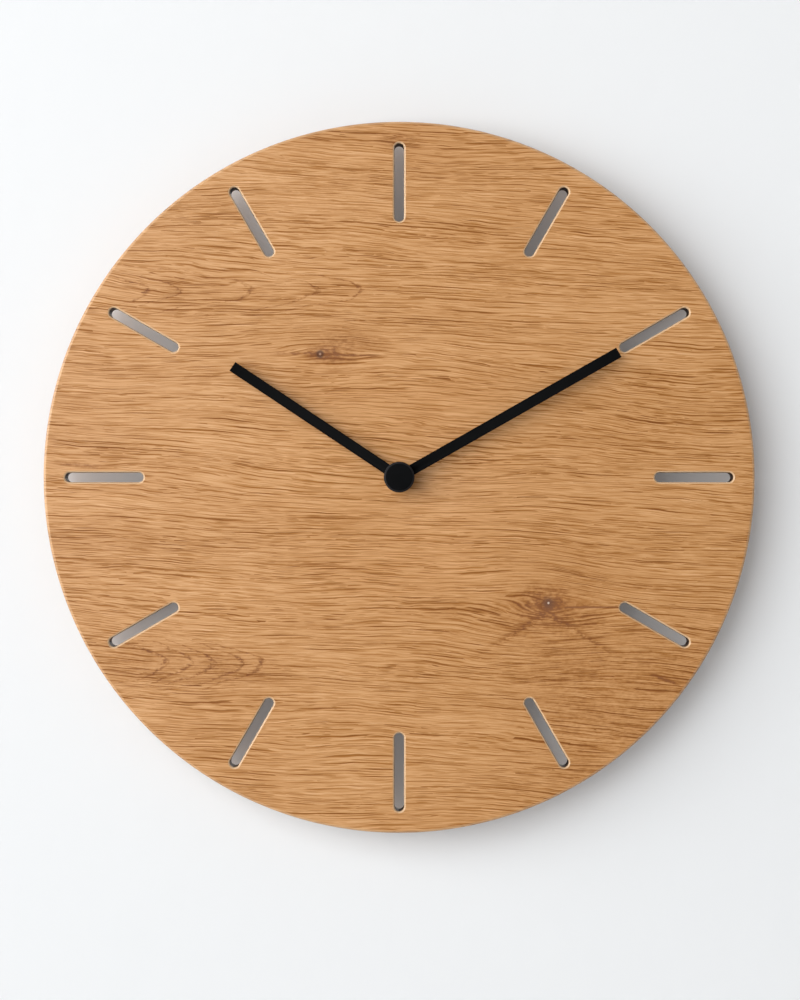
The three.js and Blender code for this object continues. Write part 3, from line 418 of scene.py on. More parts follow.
def pore_dashes(oak, u, w, layer, length, spacing, half_length, half_width, seed):
    """Spindles in the cells of a stretched Voronoi pattern: exp(-(across^2 + along^4)) of the offset from the
    cell's own point, in half widths and half lengths. Each cell has its own size and darkness."""
    cell = oak.vector(u / length + seed, layer / spacing + seed, w / (2.2 * spacing))
    place, tint = oak.node("ShaderNodeTexVoronoi", {"voronoi_dimensions": "3D"},
                           {"Vector": cell, "Scale": 1.0, "Randomness": 1.0}, ("Position", "Color"))
    gap = oak.node("ShaderNodeVectorMath", {"operation": "SUBTRACT"}, {0: cell, 1: place})
    dx, dz, _ = oak.parts(gap)
    chance, weight, _ = oak.parts(tint)
    across = dz * spacing / (half_width * (0.6 + weight * 0.8))
    along = dx * length / (half_length * (0.5 + chance))
    inside = (-(across * across + (along * along) * (along * along))).exp()
    return inside * (0.3 + weight * 0.7)


def stain_depth(oak, u, v, fleck):
    """Sum of the stains, flecked: each is depth exp(-(along^4 + across^2)) in its half length and height."""
    stain = 0.0
    for x, z, wide, high, lean, depth in stains:
        along, across = (u - x) / wide, (v - z - (u - x) * lean) / high
        cloud = (-(along * along * along * along + across * across)).exp()
        stain = cloud * (depth * 1.4) * (0.3 + fleck * 0.9) + stain
    return stain


def ray_figure(oak, u, v, ripple, fleck):
    """The figure of the rays: nested tips whose sides bend back as bend times the square of the distance from
    their middle line, and two boughs that fall from the lower knot."""
    figure = 0.0
    for z, bend, tips in rays:
        across = v - z + (ripple - 0.5) * 9.0
        place = u + across * across * bend + (fleck - 0.5) * 6.0
        nearest, furthest = tips[0] - 10, tips[-1] + 10
        stops = [((tip + side - nearest) / (furthest - nearest), (shade,) * 3)
                 for tip in tips for side, shade in ((-2.4, 0.0), (0.0, 1.0), (1.2, 0.0))]
        share = (place - nearest) / (furthest - nearest)
        lines = oak.node("ShaderNodeValToRGB", {"stops": stops}, {"Fac": share})
        figure = lines * (-(across * across / 220.0)).exp() * (0.1 + fleck * 0.5) + figure
    cross, climb = (u - bough_place[0]).size(), v - bough_place[1]
    bough = (climb + cross * 0.6 + 4.0 + (fleck - 0.5) * 5.0) / 1.5
    return figure + (-(bough * bough)).exp() * (1.0 - cross.rise(20.0, 42.0)) * 0.25


def knot_eyes(oak, tone, u, v):
    """A dark ring round the pale eye of the upper knot, and a dark heart with a pale pith in the lower."""
    x, z = eye_place
    eye = ((u - x) * (u - x) + (v - z) * (v - z)) ** 0.5
    ring = (eye - 1.2) / 0.85
    tone = oak.blend((-(ring * ring)).exp() * 0.9, tone, (0.09, 0.032, 0.013))
    tone = oak.blend(eye.rise(0.8, 0.3) * 0.8, tone, (0.38, 0.25, 0.18))
    x, z = heart_place
    heart = ((u - x) * (u - x) + (v - z) * (v - z)) ** 0.5
    tone = oak.blend(heart.rise(4.6, 0.6) * 0.8, tone, (0.12, 0.045, 0.02))
    return oak.blend(heart.rise(0.7, 0.3) * 0.8, tone, (0.75, 0.60, 0.48))


def oak_finish():
    """Oiled oak. Growth layers bow round each knot, and pores are thin dashes laid along them. One number for
    lightness, less the pores, stains and figure, picks the colour. Broken edges are painted pale, less so on
    the rim: partly wear, and partly a painted highlight that stands in for the light the rounds catch. The
    walls of the slots are near black: partly scorch from the cutter, and partly painted shade that stands in
    for the shade inside the slots."""
    oak = Finish("oiled_oak")
    u, w, v = oak.parts(oak.place((axis_x, 0, axis_z)))
    ripple = oak.noise(oak.vector(u * 0.03, w * 0.05, v * 0.09), detail=2.0)
    fleck = oak.noise(oak.vector(u * 0.45, w * 0.9, v * 0.9), detail=2.0)
    layer = growth_layers(oak, u, w, v, ripple)
    band = oak.noise(oak.vector(u * 0.006, layer * 0.11, w * 0.11), detail=2.5, roughness=0.6)
    drift = oak.noise(oak.vector(u * 0.011, layer * 0.035, w * 0.03), detail=2.0)
    streak = oak.noise(oak.vector(u * 0.018, layer * 1.5, w * 1.5), detail=2.0, roughness=0.55)
    fibre = oak.noise(oak.vector(u * 0.06, layer * 2.8, w * 2.8), detail=1.0)
    short = pore_dashes(oak, u, w, layer, 9.0, 1.15, 3.8, 0.15, 3.1)
    middle = pore_dashes(oak, u, w, layer, 20.0, 1.9, 9.2, 0.175, 11.7)
    long = pore_dashes(oak, u, w, layer, 42.0, 2.8, 19.5, 0.21, 23.3)
    dense = band.rise(0.38, 0.62)
    pores = (short * (0.4 + dense * 0.4)).math("MAXIMUM", middle * (0.6 + dense * 0.4)).math("MAXIMUM", long)
    light = 0.690 + (drift - 0.5) * 0.3 + (streak - 0.5) * 0.68 + (fibre - 0.5) * 0.72
    stain = stain_depth(oak, u, v, fleck)
    figure = ray_figure(oak, u, v, ripple, fleck)
    light = light - dense * 0.05 - pores * 0.64 - stain - figure * 0.95
    light = light - (fleck - 0.5) * (stain + figure) * 1.6
    tone = oak.node("ShaderNodeValToRGB", {"stops": (
        (0.04, (0.20, 0.062, 0.009)), (0.18, (0.29, 0.105, 0.016)), (0.36, (0.41, 0.176, 0.042)),
        (0.56, (0.53, 0.259, 0.088)), (0.76, (0.63, 0.333, 0.135)), (0.96, (0.73, 0.422, 0.210)))},
        {"Fac": light})
    tone = oak.blend((stain * 0.35).within(), tone, (0.34, 0.140, 0.048))
    tone = knot_eyes(oak, tone, u, v)
    depth = w - board_front
    radius = (u * u + v * v) ** 0.5
    rim = radius.rise(168.0, 168.5)
    # Mask of the rounded edges, which are painted pale: partly wear, partly a painted highlight.
    wear_and_highlight = depth.rise(0.004, 0.06) * (1.0 - depth.rise(0.8, 1.3))
    # The walls of the slots are painted near black: scorch from the cutter, and painted shade inside the
    # slots.
    scorch_and_shade = depth.rise(0.6, 1.2) * (1.0 - depth.rise(board_thick - 1.4, board_thick - 0.4))
    scorch_and_shade = scorch_and_shade * (1.0 - rim) * radius.rise(112.0, 114.0)
    # Near-black colour of the slot walls, partly scorch and partly painted shade.
    scorch_and_shade_tone = oak.blend(fleck.rise(0.35, 0.65), (0.024, 0.011, 0.006), (0.060, 0.026, 0.012))
    # The pale colour of the rounded edges is wear and a painted highlight together.
    tone = oak.blend(wear_and_highlight * (0.75 - rim * 0.5), tone, (0.70, 0.50, 0.31))
    tone = oak.blend(scorch_and_shade, tone, scorch_and_shade_tone)
    height = 1.0 - pores * 0.8 - (0.5 - streak).size() * 0.4
    sheen = (1.0 - pores) * (0.3 + fibre * 0.6) * (1.0 - scorch_and_shade)
    return oak.surface(base_color=tone, roughness=0.55 + pores * 0.25, normal=oak.bump(height, 0.2, 0.8),
                       coat_weight=sheen.math("MAXIMUM", wear_and_highlight * 0.8), coat_roughness=0.33,
                       specular_ior_level=0.2)


board = weld("oak_board", *board_patches())
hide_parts("dial_board")
dress(board, oak_finish(), "root")


# The hands are bars of 0.8 mm steel sheet, blanked with a round hub and sprayed matt black. Each is pushed on
# its pipe, the hour hand by a short collar, and a round black cap covers both hubs.
hour_angle = math.radians(303.6)
minute_angle = math.radians(60.4)
hour_reach = 98.0
minute_reach = 123.4
hour_half = 2.6
minute_half = 2.65
hour_bore = 2.64
minute_bore = 1.62
hub_radius = 5.5
sheet_thick = 0.8
hand_break = 0.12


def hand_ring(inset, length, half_width, hub, count=48):
    """Outline of a hand that points to twelve, inset by a distance: the long way round its hub's circle,
    then up one side of the bar, over the square end and down the other."""
    half, reach, radius = half_width - inset, length - inset, hub - inset
    start = math.asin(half / radius)
    sweep = np.linspace(start, TURN - start, 2 * count + 1)
    round_hub = np.stack([radius * np.sin(sweep), radius * np.cos(sweep)], -1)
    run = np.linspace(radius * math.cos(start), reach, count // 2)[1:, None]
    left = np.concatenate([-half + 0 * run, run], -1)
    right = np.concatenate([half + 0 * run, run], -1)[::-1]
    over = np.linspace(-half, half, 7)[1:-1, None]
    tip = np.concatenate([over, reach + 0 * over], -1)
    return np.concatenate([round_hub, left, tip, right, round_hub[:1]])


def bore_ring(radius, outline):
    """A circle with one point on the ray to each point of an outline."""
    bearing = np.arctan2(outline[:, 0], outline[:, 1])
    return np.stack([radius * np.sin(bearing), radius * np.cos(bearing)], -1)


def hand(name, node, angle, length, half_width, bore, front, back, collar=()):
    """A bar hand, whose faces run from the bore to the outline, and whose edge is broken on both sides."""
    edge = through_profile(hand_break, back - front, 3, 0.05)
    outer = [(hand_ring(inset, length, half_width, hub_radius), front + depth) for inset, depth in edge]
    inner = [(bore_ring(radius, outer[0][0]), depth)
             for radius, depth in (*collar, (bore, front), (bore, back))]
    rings = [*inner[-1:], *outer[::-1], *inner]
    grid = np.stack([np.concatenate([ring, depth + 0 * ring[:, :1]], -1) for ring, depth in rings])
    made = weld(name, grid @ turned_by(angle))
    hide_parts(node)
    return made


def black_finish(name, colour, roughness, grey_edge_from=None):
    """Sprayed matt black: a fine orange peel in the height, and faint mottling of the sheen. Past a radius
    about the dial's axis the edge is painted a lighter grey, partly wear and partly a painted highlight on
    the cap's rounded edge."""
    black = Finish(name)
    point = black.place((axis_x, 0, axis_z))
    peel = black.noise(point, scale=1.6, detail=2.0)
    mottle = black.noise(point, scale=0.12, detail=3.0)
    tone = black.blend(mottle.rise(0.3, 0.7), colour, tuple(c * 1.35 for c in colour))
    if grey_edge_from:
        # Grey edge past the radius: partly wear, partly a painted highlight.
        across, _, up = black.parts(point)
        wear_and_highlight = ((across * across + up * up) ** 0.5).rise(grey_edge_from, grey_edge_from + 0.4)
        tone = black.blend(wear_and_highlight, tone, (0.022, 0.022, 0.024))
    return black.surface(base_color=tone, roughness=roughness + (mottle - 0.5) * 0.12,
                         normal=black.bump(peel, 0.01, 0.6), specular_ior_level=0.03)


hour_low, hour_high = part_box("hour_hand")
minute_low, minute_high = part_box("minute_hand")
collar_front = hour_low.y / MM
hour_back = hour_high.y / MM
hour_front = hour_back - sheet_thick
collar = ((3.9, hour_front), (3.9, collar_front), (hour_bore, collar_front))
hour_hand = hand("hour_bar", "hour_hand", hour_angle, hour_reach, hour_half, hour_bore,
                 hour_front, hour_back, collar)
minute_hand = hand("minute_bar", "minute_hand", minute_angle, minute_reach, minute_half, minute_bore,
                   minute_low.y / MM, minute_high.y / MM)
hand_black = black_finish("matt_black_spray", (0.0022, 0.0024, 0.0027), 0.6)
dress(hour_hand, hand_black, "hour")
dress(minute_hand, hand_black, "minute")


def revolve(name, profile, sides, centre=(0.0, 0.0)):
    """A profile of (radius, depth) turned about an axis that runs into the wall: (r sin a, r cos a)."""
    around = np.linspace(0, TURN, sides + 1)
    grid = np.stack([ring_of(around, radius, depth) for radius, depth in profile])
    return weld(name, grid + np.array([*centre, 0.0]))


def rounded(corners, steps=4):
    """A profile whose corners are arcs. A corner is (radius, depth, rounding). Each arc is the quadratic
    curve (1-t)^2 a + 2t(1-t) corner + t^2 b, where a and b lie the rounding's length along the corner's two
    sides."""
    points = np.array([c[:2] for c in corners], float)
    made = [points[0]]
    for before, corner, after, fillet in zip(points, points[1:], points[2:], [c[2] for c in corners[1:-1]]):
        a = corner + (before - corner) * fillet / max(np.linalg.norm(before - corner), 1e-9)
        b = corner + (after - corner) * fillet / max(np.linalg.norm(after - corner), 1e-9)
        share = np.linspace(0, 1, steps + 1)[:, None]
        made += list((1 - share) ** 2 * a + 2 * share * (1 - share) * corner + share ** 2 * b)
    return [*made, points[-1]]


cap_low, cap_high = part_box("centre_cap")
cap_front, cap_back = cap_low.y / MM, cap_high.y / MM
cap_seat = cap_back - 0.8
cap_bore_end = cap_front + 1.2
cap = revolve("hub_cap", rounded((
    (0, cap_front, 0), (6.5, cap_front, 0.3), (7.5, cap_front + 1, 0.3), (7.5, cap_back, 0.1),
    (5.6, cap_back, 0.1), (5.6, cap_seat, 0.05), (minute_bore, cap_seat, 0.05),
    (minute_bore, cap_bore_end, 0.05), (0, cap_bore_end, 0))), 96)
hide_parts("centre_cap")
# The cap's edge past 6.4 mm is painted grey, as wear and a painted highlight.
dress(cap, black_finish("moulded_black_cap", (0.0024, 0.0026, 0.0030), 0.5, 6.4), "minute")


# The dial fixing: a brass bush with a fine thread comes through the board, and a chamfered hexagon nut on a
# flat washer clamps the board to the movement. The nut and washer hide behind the cap.
def moulded(name, colour, roughness, grain=0.015, metallic=0.0):
    """Moulded stock with the fine spark-eroded grain of its tool and a faint mottling of colour and sheen."""
    stock = Finish(name)
    point = stock.place()
    fine = stock.noise(point, scale=3.0, detail=2.0)
    mottle = stock.noise(point, scale=0.15, detail=3.0)
    dull, bright = tuple(c * 0.86 for c in colour), tuple(min(1, c * 1.12) for c in colour)
    tone = stock.blend(mottle.rise(0.3, 0.7), dull, bright)
    return stock.surface(base_color=tone, roughness=roughness + (mottle - 0.5) * 0.15, metallic=metallic,
                         normal=stock.bump(fine, grain, 0.7))


def machined(name, colour, roughness):
    """Metal turned about the dial's axis: fine rings of the cutting tool, with a slow change of tarnish."""
    stock = Finish(name)
    point = stock.place((axis_x, 0, axis_z))
    across, along, up = stock.parts(point)
    radius = (across * across + up * up) ** 0.5
    rings = stock.noise(stock.vector(radius * 9.0, along * 9.0, 0.0), detail=1.0)
    tarnish = stock.noise(point, scale=0.2, detail=3.0)
    tone = stock.blend(tarnish.rise(0.35, 0.75), colour, tuple(c * 0.72 for c in colour))
    dullness = roughness + (tarnish - 0.5) * 0.2 + rings * 0.08
    return stock.surface(base_color=tone, metallic=1.0, roughness=dullness,
                         normal=stock.bump(rings, 0.01, 0.6))


def rolled(name, colour, roughness):
    """Rolled and plated sheet: long fine scratches across the width, and cloudy plating."""
    stock = Finish(name)
    point = stock.place()
    across, along, up = stock.parts(point)
    scratch = stock.noise(stock.vector(across * 5.0, along * 5.0, up * 0.25), detail=2.0)
    cloud = stock.noise(point, scale=0.12, detail=3.0)
    tone = stock.blend(cloud.rise(0.3, 0.75), colour, tuple(c * 0.78 for c in colour))
    return stock.surface(base_color=tone, metallic=1.0, roughness=roughness + (scratch - 0.5) * 0.2,
                         normal=stock.bump(scratch, 0.008, 0.5))


def threaded(name, start, lead, major, depth, pitch, sides, tail):
    """A turned blank with a screw thread. The blank's profile (radius, depth) leads in and tails out. Between
    them the radius is major less depth times a triangle wave of (depth / pitch - angle / turn)."""
    around = np.linspace(0, TURN, sides + 1)
    rings = [ring_of(around, radius, place) for radius, place in start]
    for place in np.arange(lead[0], lead[1], pitch / 6):
        phase = (place / pitch - around / TURN) % 1.0
        fade = min(1.0, (place - lead[0]) / pitch, (lead[1] - place) / pitch)
        rings.append(ring_of(around, major - depth * fade * np.abs(2 * phase - 1), place))
    rings += [ring_of(around, radius, place) for radius, place in tail]
    return weld(name, np.stack(rings))


turned_brass = machined("turned_brass", (0.66, 0.45, 0.17), 0.26)
bush_low, bush_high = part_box("threaded_bush")
bush_front, bush_back = bush_low.y / MM, bush_high.y / MM
bush_bore = 3.0
bush_major = 4.0
bore_end = (bush_bore, bush_front + 5)
bush = threaded("bush_thread",
                [bore_end, (bush_bore, bush_front + 0.15), (3.1, bush_front), (3.5, bush_front)],
                (bush_front + 0.4, bush_back - 2.0), bush_major, 0.3, 0.75, 64,
                [(bush_major, bush_back - 1.9), (bush_major, bush_back - 0.7), (5.4, bush_back - 0.7),
                 (5.5, bush_back - 0.6), (5.5, bush_back - 0.1), (5.4, bush_back), (bush_bore, bush_back),
                 bore_end])
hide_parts("threaded_bush")
dress(bush, turned_brass, "root")

washer_low, washer_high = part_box("brass_washer")
front, back = washer_low.y / MM, washer_high.y / MM
middle = (front + back) / 2
washer_bore, washer_radius = 4.1, 6.6
washer = revolve("flat_washer", rounded((
    (washer_bore, middle), (washer_bore, front, 0.08), (washer_radius, front, 0.15),
    (washer_radius, back, 0.15), (washer_bore, back, 0.08), (washer_bore, middle))), 96)
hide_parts("brass_washer")
dress(washer, turned_brass, "root")

nut_low, nut_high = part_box("hex_nut")
nut_front, nut_back = nut_low.y / MM, nut_high.y / MM
nut_bore = 4.05
flat_half = 5.5


def nut_rings():
    """Rings of a hexagon nut: flat_half / cos of the angle from the nearest flat, cut by the front chamfer's
    cone, whose radius grows by 1.75 for each unit of depth."""
    around = np.linspace(0, TURN, 145)
    hexagon = flat_half / np.cos((around + TURN / 12) % (TURN / 6) - TURN / 12)
    bore = [(nut_bore, nut_back - 0.3), (nut_bore, nut_front + 0.3), (nut_bore + 0.3, nut_front)]
    cone = [(np.minimum(hexagon - 0.05, 5.35 + deep * 1.75), nut_front + deep)
            for deep in np.linspace(0, 0.56, 9)]
    sides = [(hexagon, nut_front + 0.66), (hexagon, nut_back - 0.1), (hexagon - 0.1, nut_back)]
    end = [(nut_bore + 0.3, nut_back), (nut_bore, nut_back - 0.3)]
    return np.stack([ring_of(around, radius, place) for radius, place in (*bore, *cone, *sides, *end)])


nut = weld("hexagon_nut", nut_rings())
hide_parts("hex_nut")
dress(nut, turned_brass, "root")


# The hanger plate is a strip of zinc-plated steel sheet with a keyhole eye. The movement clamps its round
# foot, and the strip steps back over the case to the wall. The case and its lid are moulded in black ABS.
def softened(name, node, width, material):
    """A merged copy of a CAD node in its place, whose sharp edges a Bevel modifier breaks."""
    mesh = nodes[node].data.copy()
    mesh.name = name
    mesh.transform(nodes[node].matrix_world)
    sharp = math.radians(40)
    work = bmesh.new()
    work.from_mesh(mesh)
    bmesh.ops.remove_doubles(work, verts=work.verts, dist=2e-6)
    bmesh.ops.dissolve_limit(work, angle_limit=math.radians(1), verts=work.verts, edges=work.edges)
    bmesh.ops.recalc_face_normals(work, faces=work.faces)
    for face in work.faces:
        face.smooth = True
    work.to_mesh(mesh)
    work.free()
    mesh.set_sharp_from_angle(angle=sharp)
    piece = bpy.data.objects.new(name, mesh)
    bpy.context.scene.collection.objects.link(piece)
    edge = piece.modifiers.new("broken_edges", "BEVEL")
    edge.width = width * MM
    edge.segments = 2
    edge.limit_method = "ANGLE"
    edge.angle_limit = sharp
    edge.harden_normals = True
    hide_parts(node)
    return dress(piece, material, "root")


zinc = rolled("zinc_plate", (0.56, 0.57, 0.59), 0.38)
abs_black = moulded("black_abs", (0.022, 0.023, 0.024), 0.56)
softened("hanger_strip", "hanger_plate", 0.12, zinc)
softened("movement_case", "front_case", 0.25, abs_black)
softened("movement_lid", "back_cover", 0.2, abs_black)


# The setting knob turns the minute wheel from behind. It is moulded in ivory acetal with fourteen finger
# flutes and a dished face, and stands in a well of the lid.
knob_low, knob_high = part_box("setting_knob")
knob_x = (knob_low.x + knob_high.x) / 2 / MM - axis_x / MM
knob_front, knob_back = knob_low.y / MM, knob_high.y / MM
knob_radius = 5.0
knob_bore = 1.05
flutes = 14
flute_depth = 0.45


def knob_rings():
    """Rings of (radius, depth, share of the flutes): the flutes take share times depth (1 - cos n a) / 2 off
    the radius."""
    around = np.linspace(0, TURN, flutes * 12 + 1)
    wave = flute_depth / 2 * (1 - np.cos(flutes * around))
    rows = (
        (0.0, knob_back - 0.35, 0), (2.6, knob_back - 0.35, 0), (3.3, knob_back - 0.05, 0),
        (3.5, knob_back, 0), (4.45, knob_back, 0.5), (4.8, knob_back - 0.1, 0.8), (4.95, knob_back - 0.3, 1),
        (knob_radius, knob_back - 0.6, 1), (knob_radius, knob_front + 0.4, 1), (4.85, knob_front + 0.1, 1),
        (4.6, knob_front, 1), (1.3, knob_front, 0), (knob_bore, knob_front + 0.2, 0),
        (knob_bore, knob_back - 0.9, 0), (0.0, knob_back - 0.9, 0))
    return np.stack([ring_of(around, radius - share * wave, depth) for radius, depth, share in rows])


knob = weld("fluted_knob", knob_rings() + np.array([knob_x, 0, 0]))
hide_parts("setting_knob")
acetal = moulded("ivory_acetal", (0.74, 0.71, 0.62), 0.42)
dress(knob, acetal, "setting")


# One AA cell lies in the bay below the train. A printed film is shrunk on the steel can: dark, with a
# copper-coloured band at the positive end. The ends are bare nickel-plated steel.
cell_low, cell_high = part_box("battery_cell")
cell_left, cell_long = cell_low.x / MM - axis_x / MM, (cell_high.x - cell_low.x) / MM
cell_height = (cell_low.z + cell_high.z) / 2 / MM - axis_z / MM
cell_depth = (cell_low.y + cell_high.y) / 2 / MM
cell_radius = (cell_high.z - cell_low.z) / 2 / MM
band_end = 13.0


def cell_grid():
    """The cell's profile (radius, distance from the positive tip) turned about its own axis, along x."""
    end = cell_long
    profile = rounded((
        (0, 0), (2.7, 0, 0.35), (2.7, 1.0, 0.2), (5.9, 1.0, 0.2), (6.1, 1.35, 0.15), (6.6, 1.35, 0.2),
        (cell_radius, 1.75, 0.3), (cell_radius, end - 0.55, 0.4), (6.4, end, 0.25), (5.6, end, 0.15),
        (5.4, end - 0.25, 0.1), (0, end - 0.25)))
    around = np.linspace(0, TURN, 97)
    rings = [np.stack([cell_left + along + 0 * around, cell_height + radius * np.cos(around),
                       cell_depth + radius * np.sin(around)], -1) for radius, along in profile]
    return np.stack(rings)


def sleeve_finish():
    """Printed film, told from the bare steel ends by place along the cell, with a gold line in its band."""
    film = Finish("battery_film")
    point = film.place((cell_low.x, 0, 0))
    along, _, _ = film.parts(point)
    wear = film.noise(point, scale=0.3, detail=4.0)
    band = film.blend(along.rise(band_end, band_end + 0.1), (0.50, 0.24, 0.09), (0.030, 0.034, 0.040))
    line = along.rise(band_end - 0.6, band_end - 0.55) * (1.0 - along.rise(band_end - 0.1, band_end - 0.05))
    band = film.blend(line, band, (0.80, 0.62, 0.28))
    bare = 1.0 - along.rise(1.3, 1.45) * (1.0 - along.rise(cell_long - 0.35, cell_long - 0.2))
    tone = film.blend(bare, band, (0.60, 0.60, 0.58))
    copper = (1.0 - along.rise(band_end - 0.1, band_end + 0.1)) * 0.7
    return film.surface(base_color=tone, metallic=bare.math("MAXIMUM", copper), coat_weight=0.3,
                        roughness=0.3 + (wear - 0.5) * 0.2, normal=film.bump(wear, 0.01, 0.4))


cell = weld("aa_cell", cell_grid())
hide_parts("battery_cell")
dress(cell, sleeve_finish(), "battery")


# Three rubber feet hold the board off the wall. Each is a tapered buffer with a counterbore, and a pan-head
# wood screw with a cross recess holds it to the board.
black_rubber = moulded("black_rubber", (0.017, 0.017, 0.018), 0.78, 0.03)
screw_steel = machined("screw_steel", (0.55, 0.56, 0.58), 0.30)
foot_web = 6.0
foot_hole = 1.8
foot_bore = 4.2
screw_half = 1.5
screw_pitch = 1.1
thread_depth = 0.3


def head_rings(around, front):
    """A pan head of 6 mm: a crown with a cross recess 1.1 mm deep at the middle, then the rim and underside.
    The recess is the product of two ramps, across an arm and towards its end."""
    rings = []
    for radius in np.linspace(0, 1.8, 16):
        x, z = radius * np.cos(around), radius * np.sin(around)
        narrow, wide = np.minimum(np.abs(x), np.abs(z)), np.maximum(np.abs(x), np.abs(z))
        arm = np.clip((0.5 - narrow) / 0.12, 0, 1) * np.clip((1.6 - wide) / 0.25, 0, 1)
        rings.append(ring_of(around, radius, front - arm * 1.1 * (1 - radius / 3)))
    side = ((2.3, 0.16), (2.7, 0.42), (2.92, 0.75), (3.0, 1.1), (3.0, 1.85), (2.85, 2.0), (screw_half, 2.0))
    return rings + [ring_of(around, radius, front - depth) for radius, depth in side]


def screw_grid(front, tip):
    """Head, then a shank cut by a triangle wave of (depth / pitch - angle / turn), and the point."""
    around = np.linspace(0, TURN, 97)
    rings = head_rings(around, front)
    for place in np.arange(front - 2.8, tip + 1.6, -screw_pitch / 6):
        phase = (place / screw_pitch - around / TURN) % 1.0
        rings.append(ring_of(around, screw_half - thread_depth * np.abs(2 * phase - 1), place))
    return np.stack([*rings, ring_of(around, 0.9, tip + 1.2), ring_of(around, 0.0, tip)])


for place in ("top", "left", "right"):
    low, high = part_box(f"foot_{place}")
    board_side, wall_side = low.y / MM, high.y / MM
    centre = (((low.x + high.x) / 2 - axis_x) / MM, ((low.z + high.z) / 2 - axis_z) / MM)
    web = board_side + foot_web
    foot = revolve(f"rubber_foot_{place}", rounded((
        (foot_hole, board_side + 3.0), (foot_hole, web, 0.2), (foot_bore, web, 0.3),
        (foot_bore, wall_side, 0.4), (6.0, wall_side, 0.8), (7.5, board_side, 0.4),
        (foot_hole, board_side, 0.2), (foot_hole, board_side + 3.0))), 72, centre)
    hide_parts(f"foot_{place}")
    dress(foot, black_rubber, "root")
    low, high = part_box(f"foot_screw_{place}")
    screw = weld(f"pan_screw_{place}", screw_grid(high.y / MM, low.y / MM) + np.array([*centre, 0.0]))
    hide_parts(f"foot_screw_{place}")
    dress(screw, screw_steel, "root")


# Inside the case the pieces keep their shapes from the model: acetal wheels with their arbors, a wound bobbin
# on a laminated core, a green circuit board with a resin cap and a crystal can, and sprung contacts. The
# rubber washer lies in the board's pocket.
def winding_finish():
    """Enamelled copper wire of 0.2 mm: close turns along the coil, with some lying a little proud. The colour
    is painted darker in the grooves between turns and lighter on their tops: painted shade and painted
    highlight.
    """
    wire = Finish("enamelled_copper")
    point = wire.place()
    across, along, up = wire.parts(point)
    turns = (up * (TURN / 0.2)).math("SINE")
    proud = wire.noise(wire.vector(across * 0.4, along * 0.4, up * 4.0), detail=2.0)
    # Painted shade in the grooves between turns and a painted highlight on their tops, in step with the bump.
    tone = wire.blend(turns.rise(-0.6, 0.6), (0.24, 0.07, 0.02), (0.62, 0.26, 0.10))
    return wire.surface(base_color=wire.blend(proud, tone, (0.50, 0.19, 0.06)), metallic=0.75, roughness=0.34,
                        normal=wire.bump(turns + proud, 0.03, 0.7), coat_weight=0.4)


def laminate_finish():
    """Green solder resist over glass cloth, whose weave shows as a fine square grid."""
    card = Finish("green_laminate")
    point = card.place()
    across, _, up = card.parts(point)
    weave = (across * 9.0).math("SINE") * (up * 9.0).math("SINE")
    cloud = card.noise(point, scale=0.3, detail=3.0)
    share = weave.rise(-0.8, 0.8) * 0.5 + cloud * 0.4
    tone = card.blend(share, (0.008, 0.085, 0.035), (0.025, 0.20, 0.09))
    return card.surface(base_color=tone, roughness=0.35, normal=card.bump(weave, 0.01, 0.5), coat_weight=0.3)


inside = (
    (acetal, ("minute_wheel", "centre_wheel", "hour_wheel", "minute_pipe", "third_wheel", "seconds_wheel",
              "idler_wheel", "rotor_arbor", "coil_bobbin")),
    (abs_black, ("middle_plate",)),
    (black_rubber, ("rubber_washer",)),
    (rolled("silicon_steel", (0.42, 0.42, 0.43), 0.42), ("stator", "coil_core")),
    (moulded("sintered_magnet", (0.11, 0.11, 0.12), 0.45, 0.02, 0.8), ("rotor_magnet",)),
    (winding_finish(), ("coil_winding",)),
    (laminate_finish(), ("circuit_board",)),
    (moulded("black_resin", (0.010, 0.010, 0.011), 0.28, 0.004), ("chip_cover",)),
    (rolled("nickel_can", (0.62, 0.60, 0.55), 0.25), ("quartz_crystal",)),
    (rolled("nickelled_spring", (0.60, 0.58, 0.53), 0.30), ("positive_contact", "negative_contact")))
for material, names in inside:
    for name in names:
        nodes[name].data.materials.clear()
        nodes[name].data.materials.append(material)


# The wall that the clock hangs on is white plaster, with a pale painted floor below it. Both belong to the
# studio, and a share of plain glow whitens them in what the camera sees.
wall_front = cad_high.y
floor_height = axis_z - 1.1
wall_half = 3.0
wall_height = 4.0
floor_depth = 6.0


def backdrop(name, corners, material):
    """A flat sheet of one quad through four corners, which isn't part of the object."""
    mesh = bpy.data.meshes.new(name)
    mesh.from_pydata(corners, [], [(0, 1, 2, 3)])
    mesh.materials.append(material)
    made = bpy.data.objects.new(name, mesh)
    bpy.context.scene.collection.objects.link(made)
    made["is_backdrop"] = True


def seen_by_camera(finish):
    """1 for what the camera sees, straight or in metal or glass, and 0 for light that bounces."""
    rays = ("Is Camera Ray", "Is Glossy Ray", "Is Transmission Ray")
    straight, in_metal, in_glass = finish.node("ShaderNodeLightPath", {}, {}, rays)
    return straight.math("MAXIMUM", in_metal).math("MAXIMUM", in_glass)


def matt_with_glow(finish, paint, grey, share):
    """Matt paint, with a share of plain grey glow mixed in for what the camera sees."""
    matt = finish.node("ShaderNodeBsdfDiffuse", {}, paint)
    glow = finish.node("ShaderNodeEmission", {}, {"Color": (grey, grey, grey, 1.0), "Strength": 1.0})
    return finish.node("ShaderNodeMixShader", {}, {0: seen_by_camera(finish) * share, 1: matt, 2: glow})


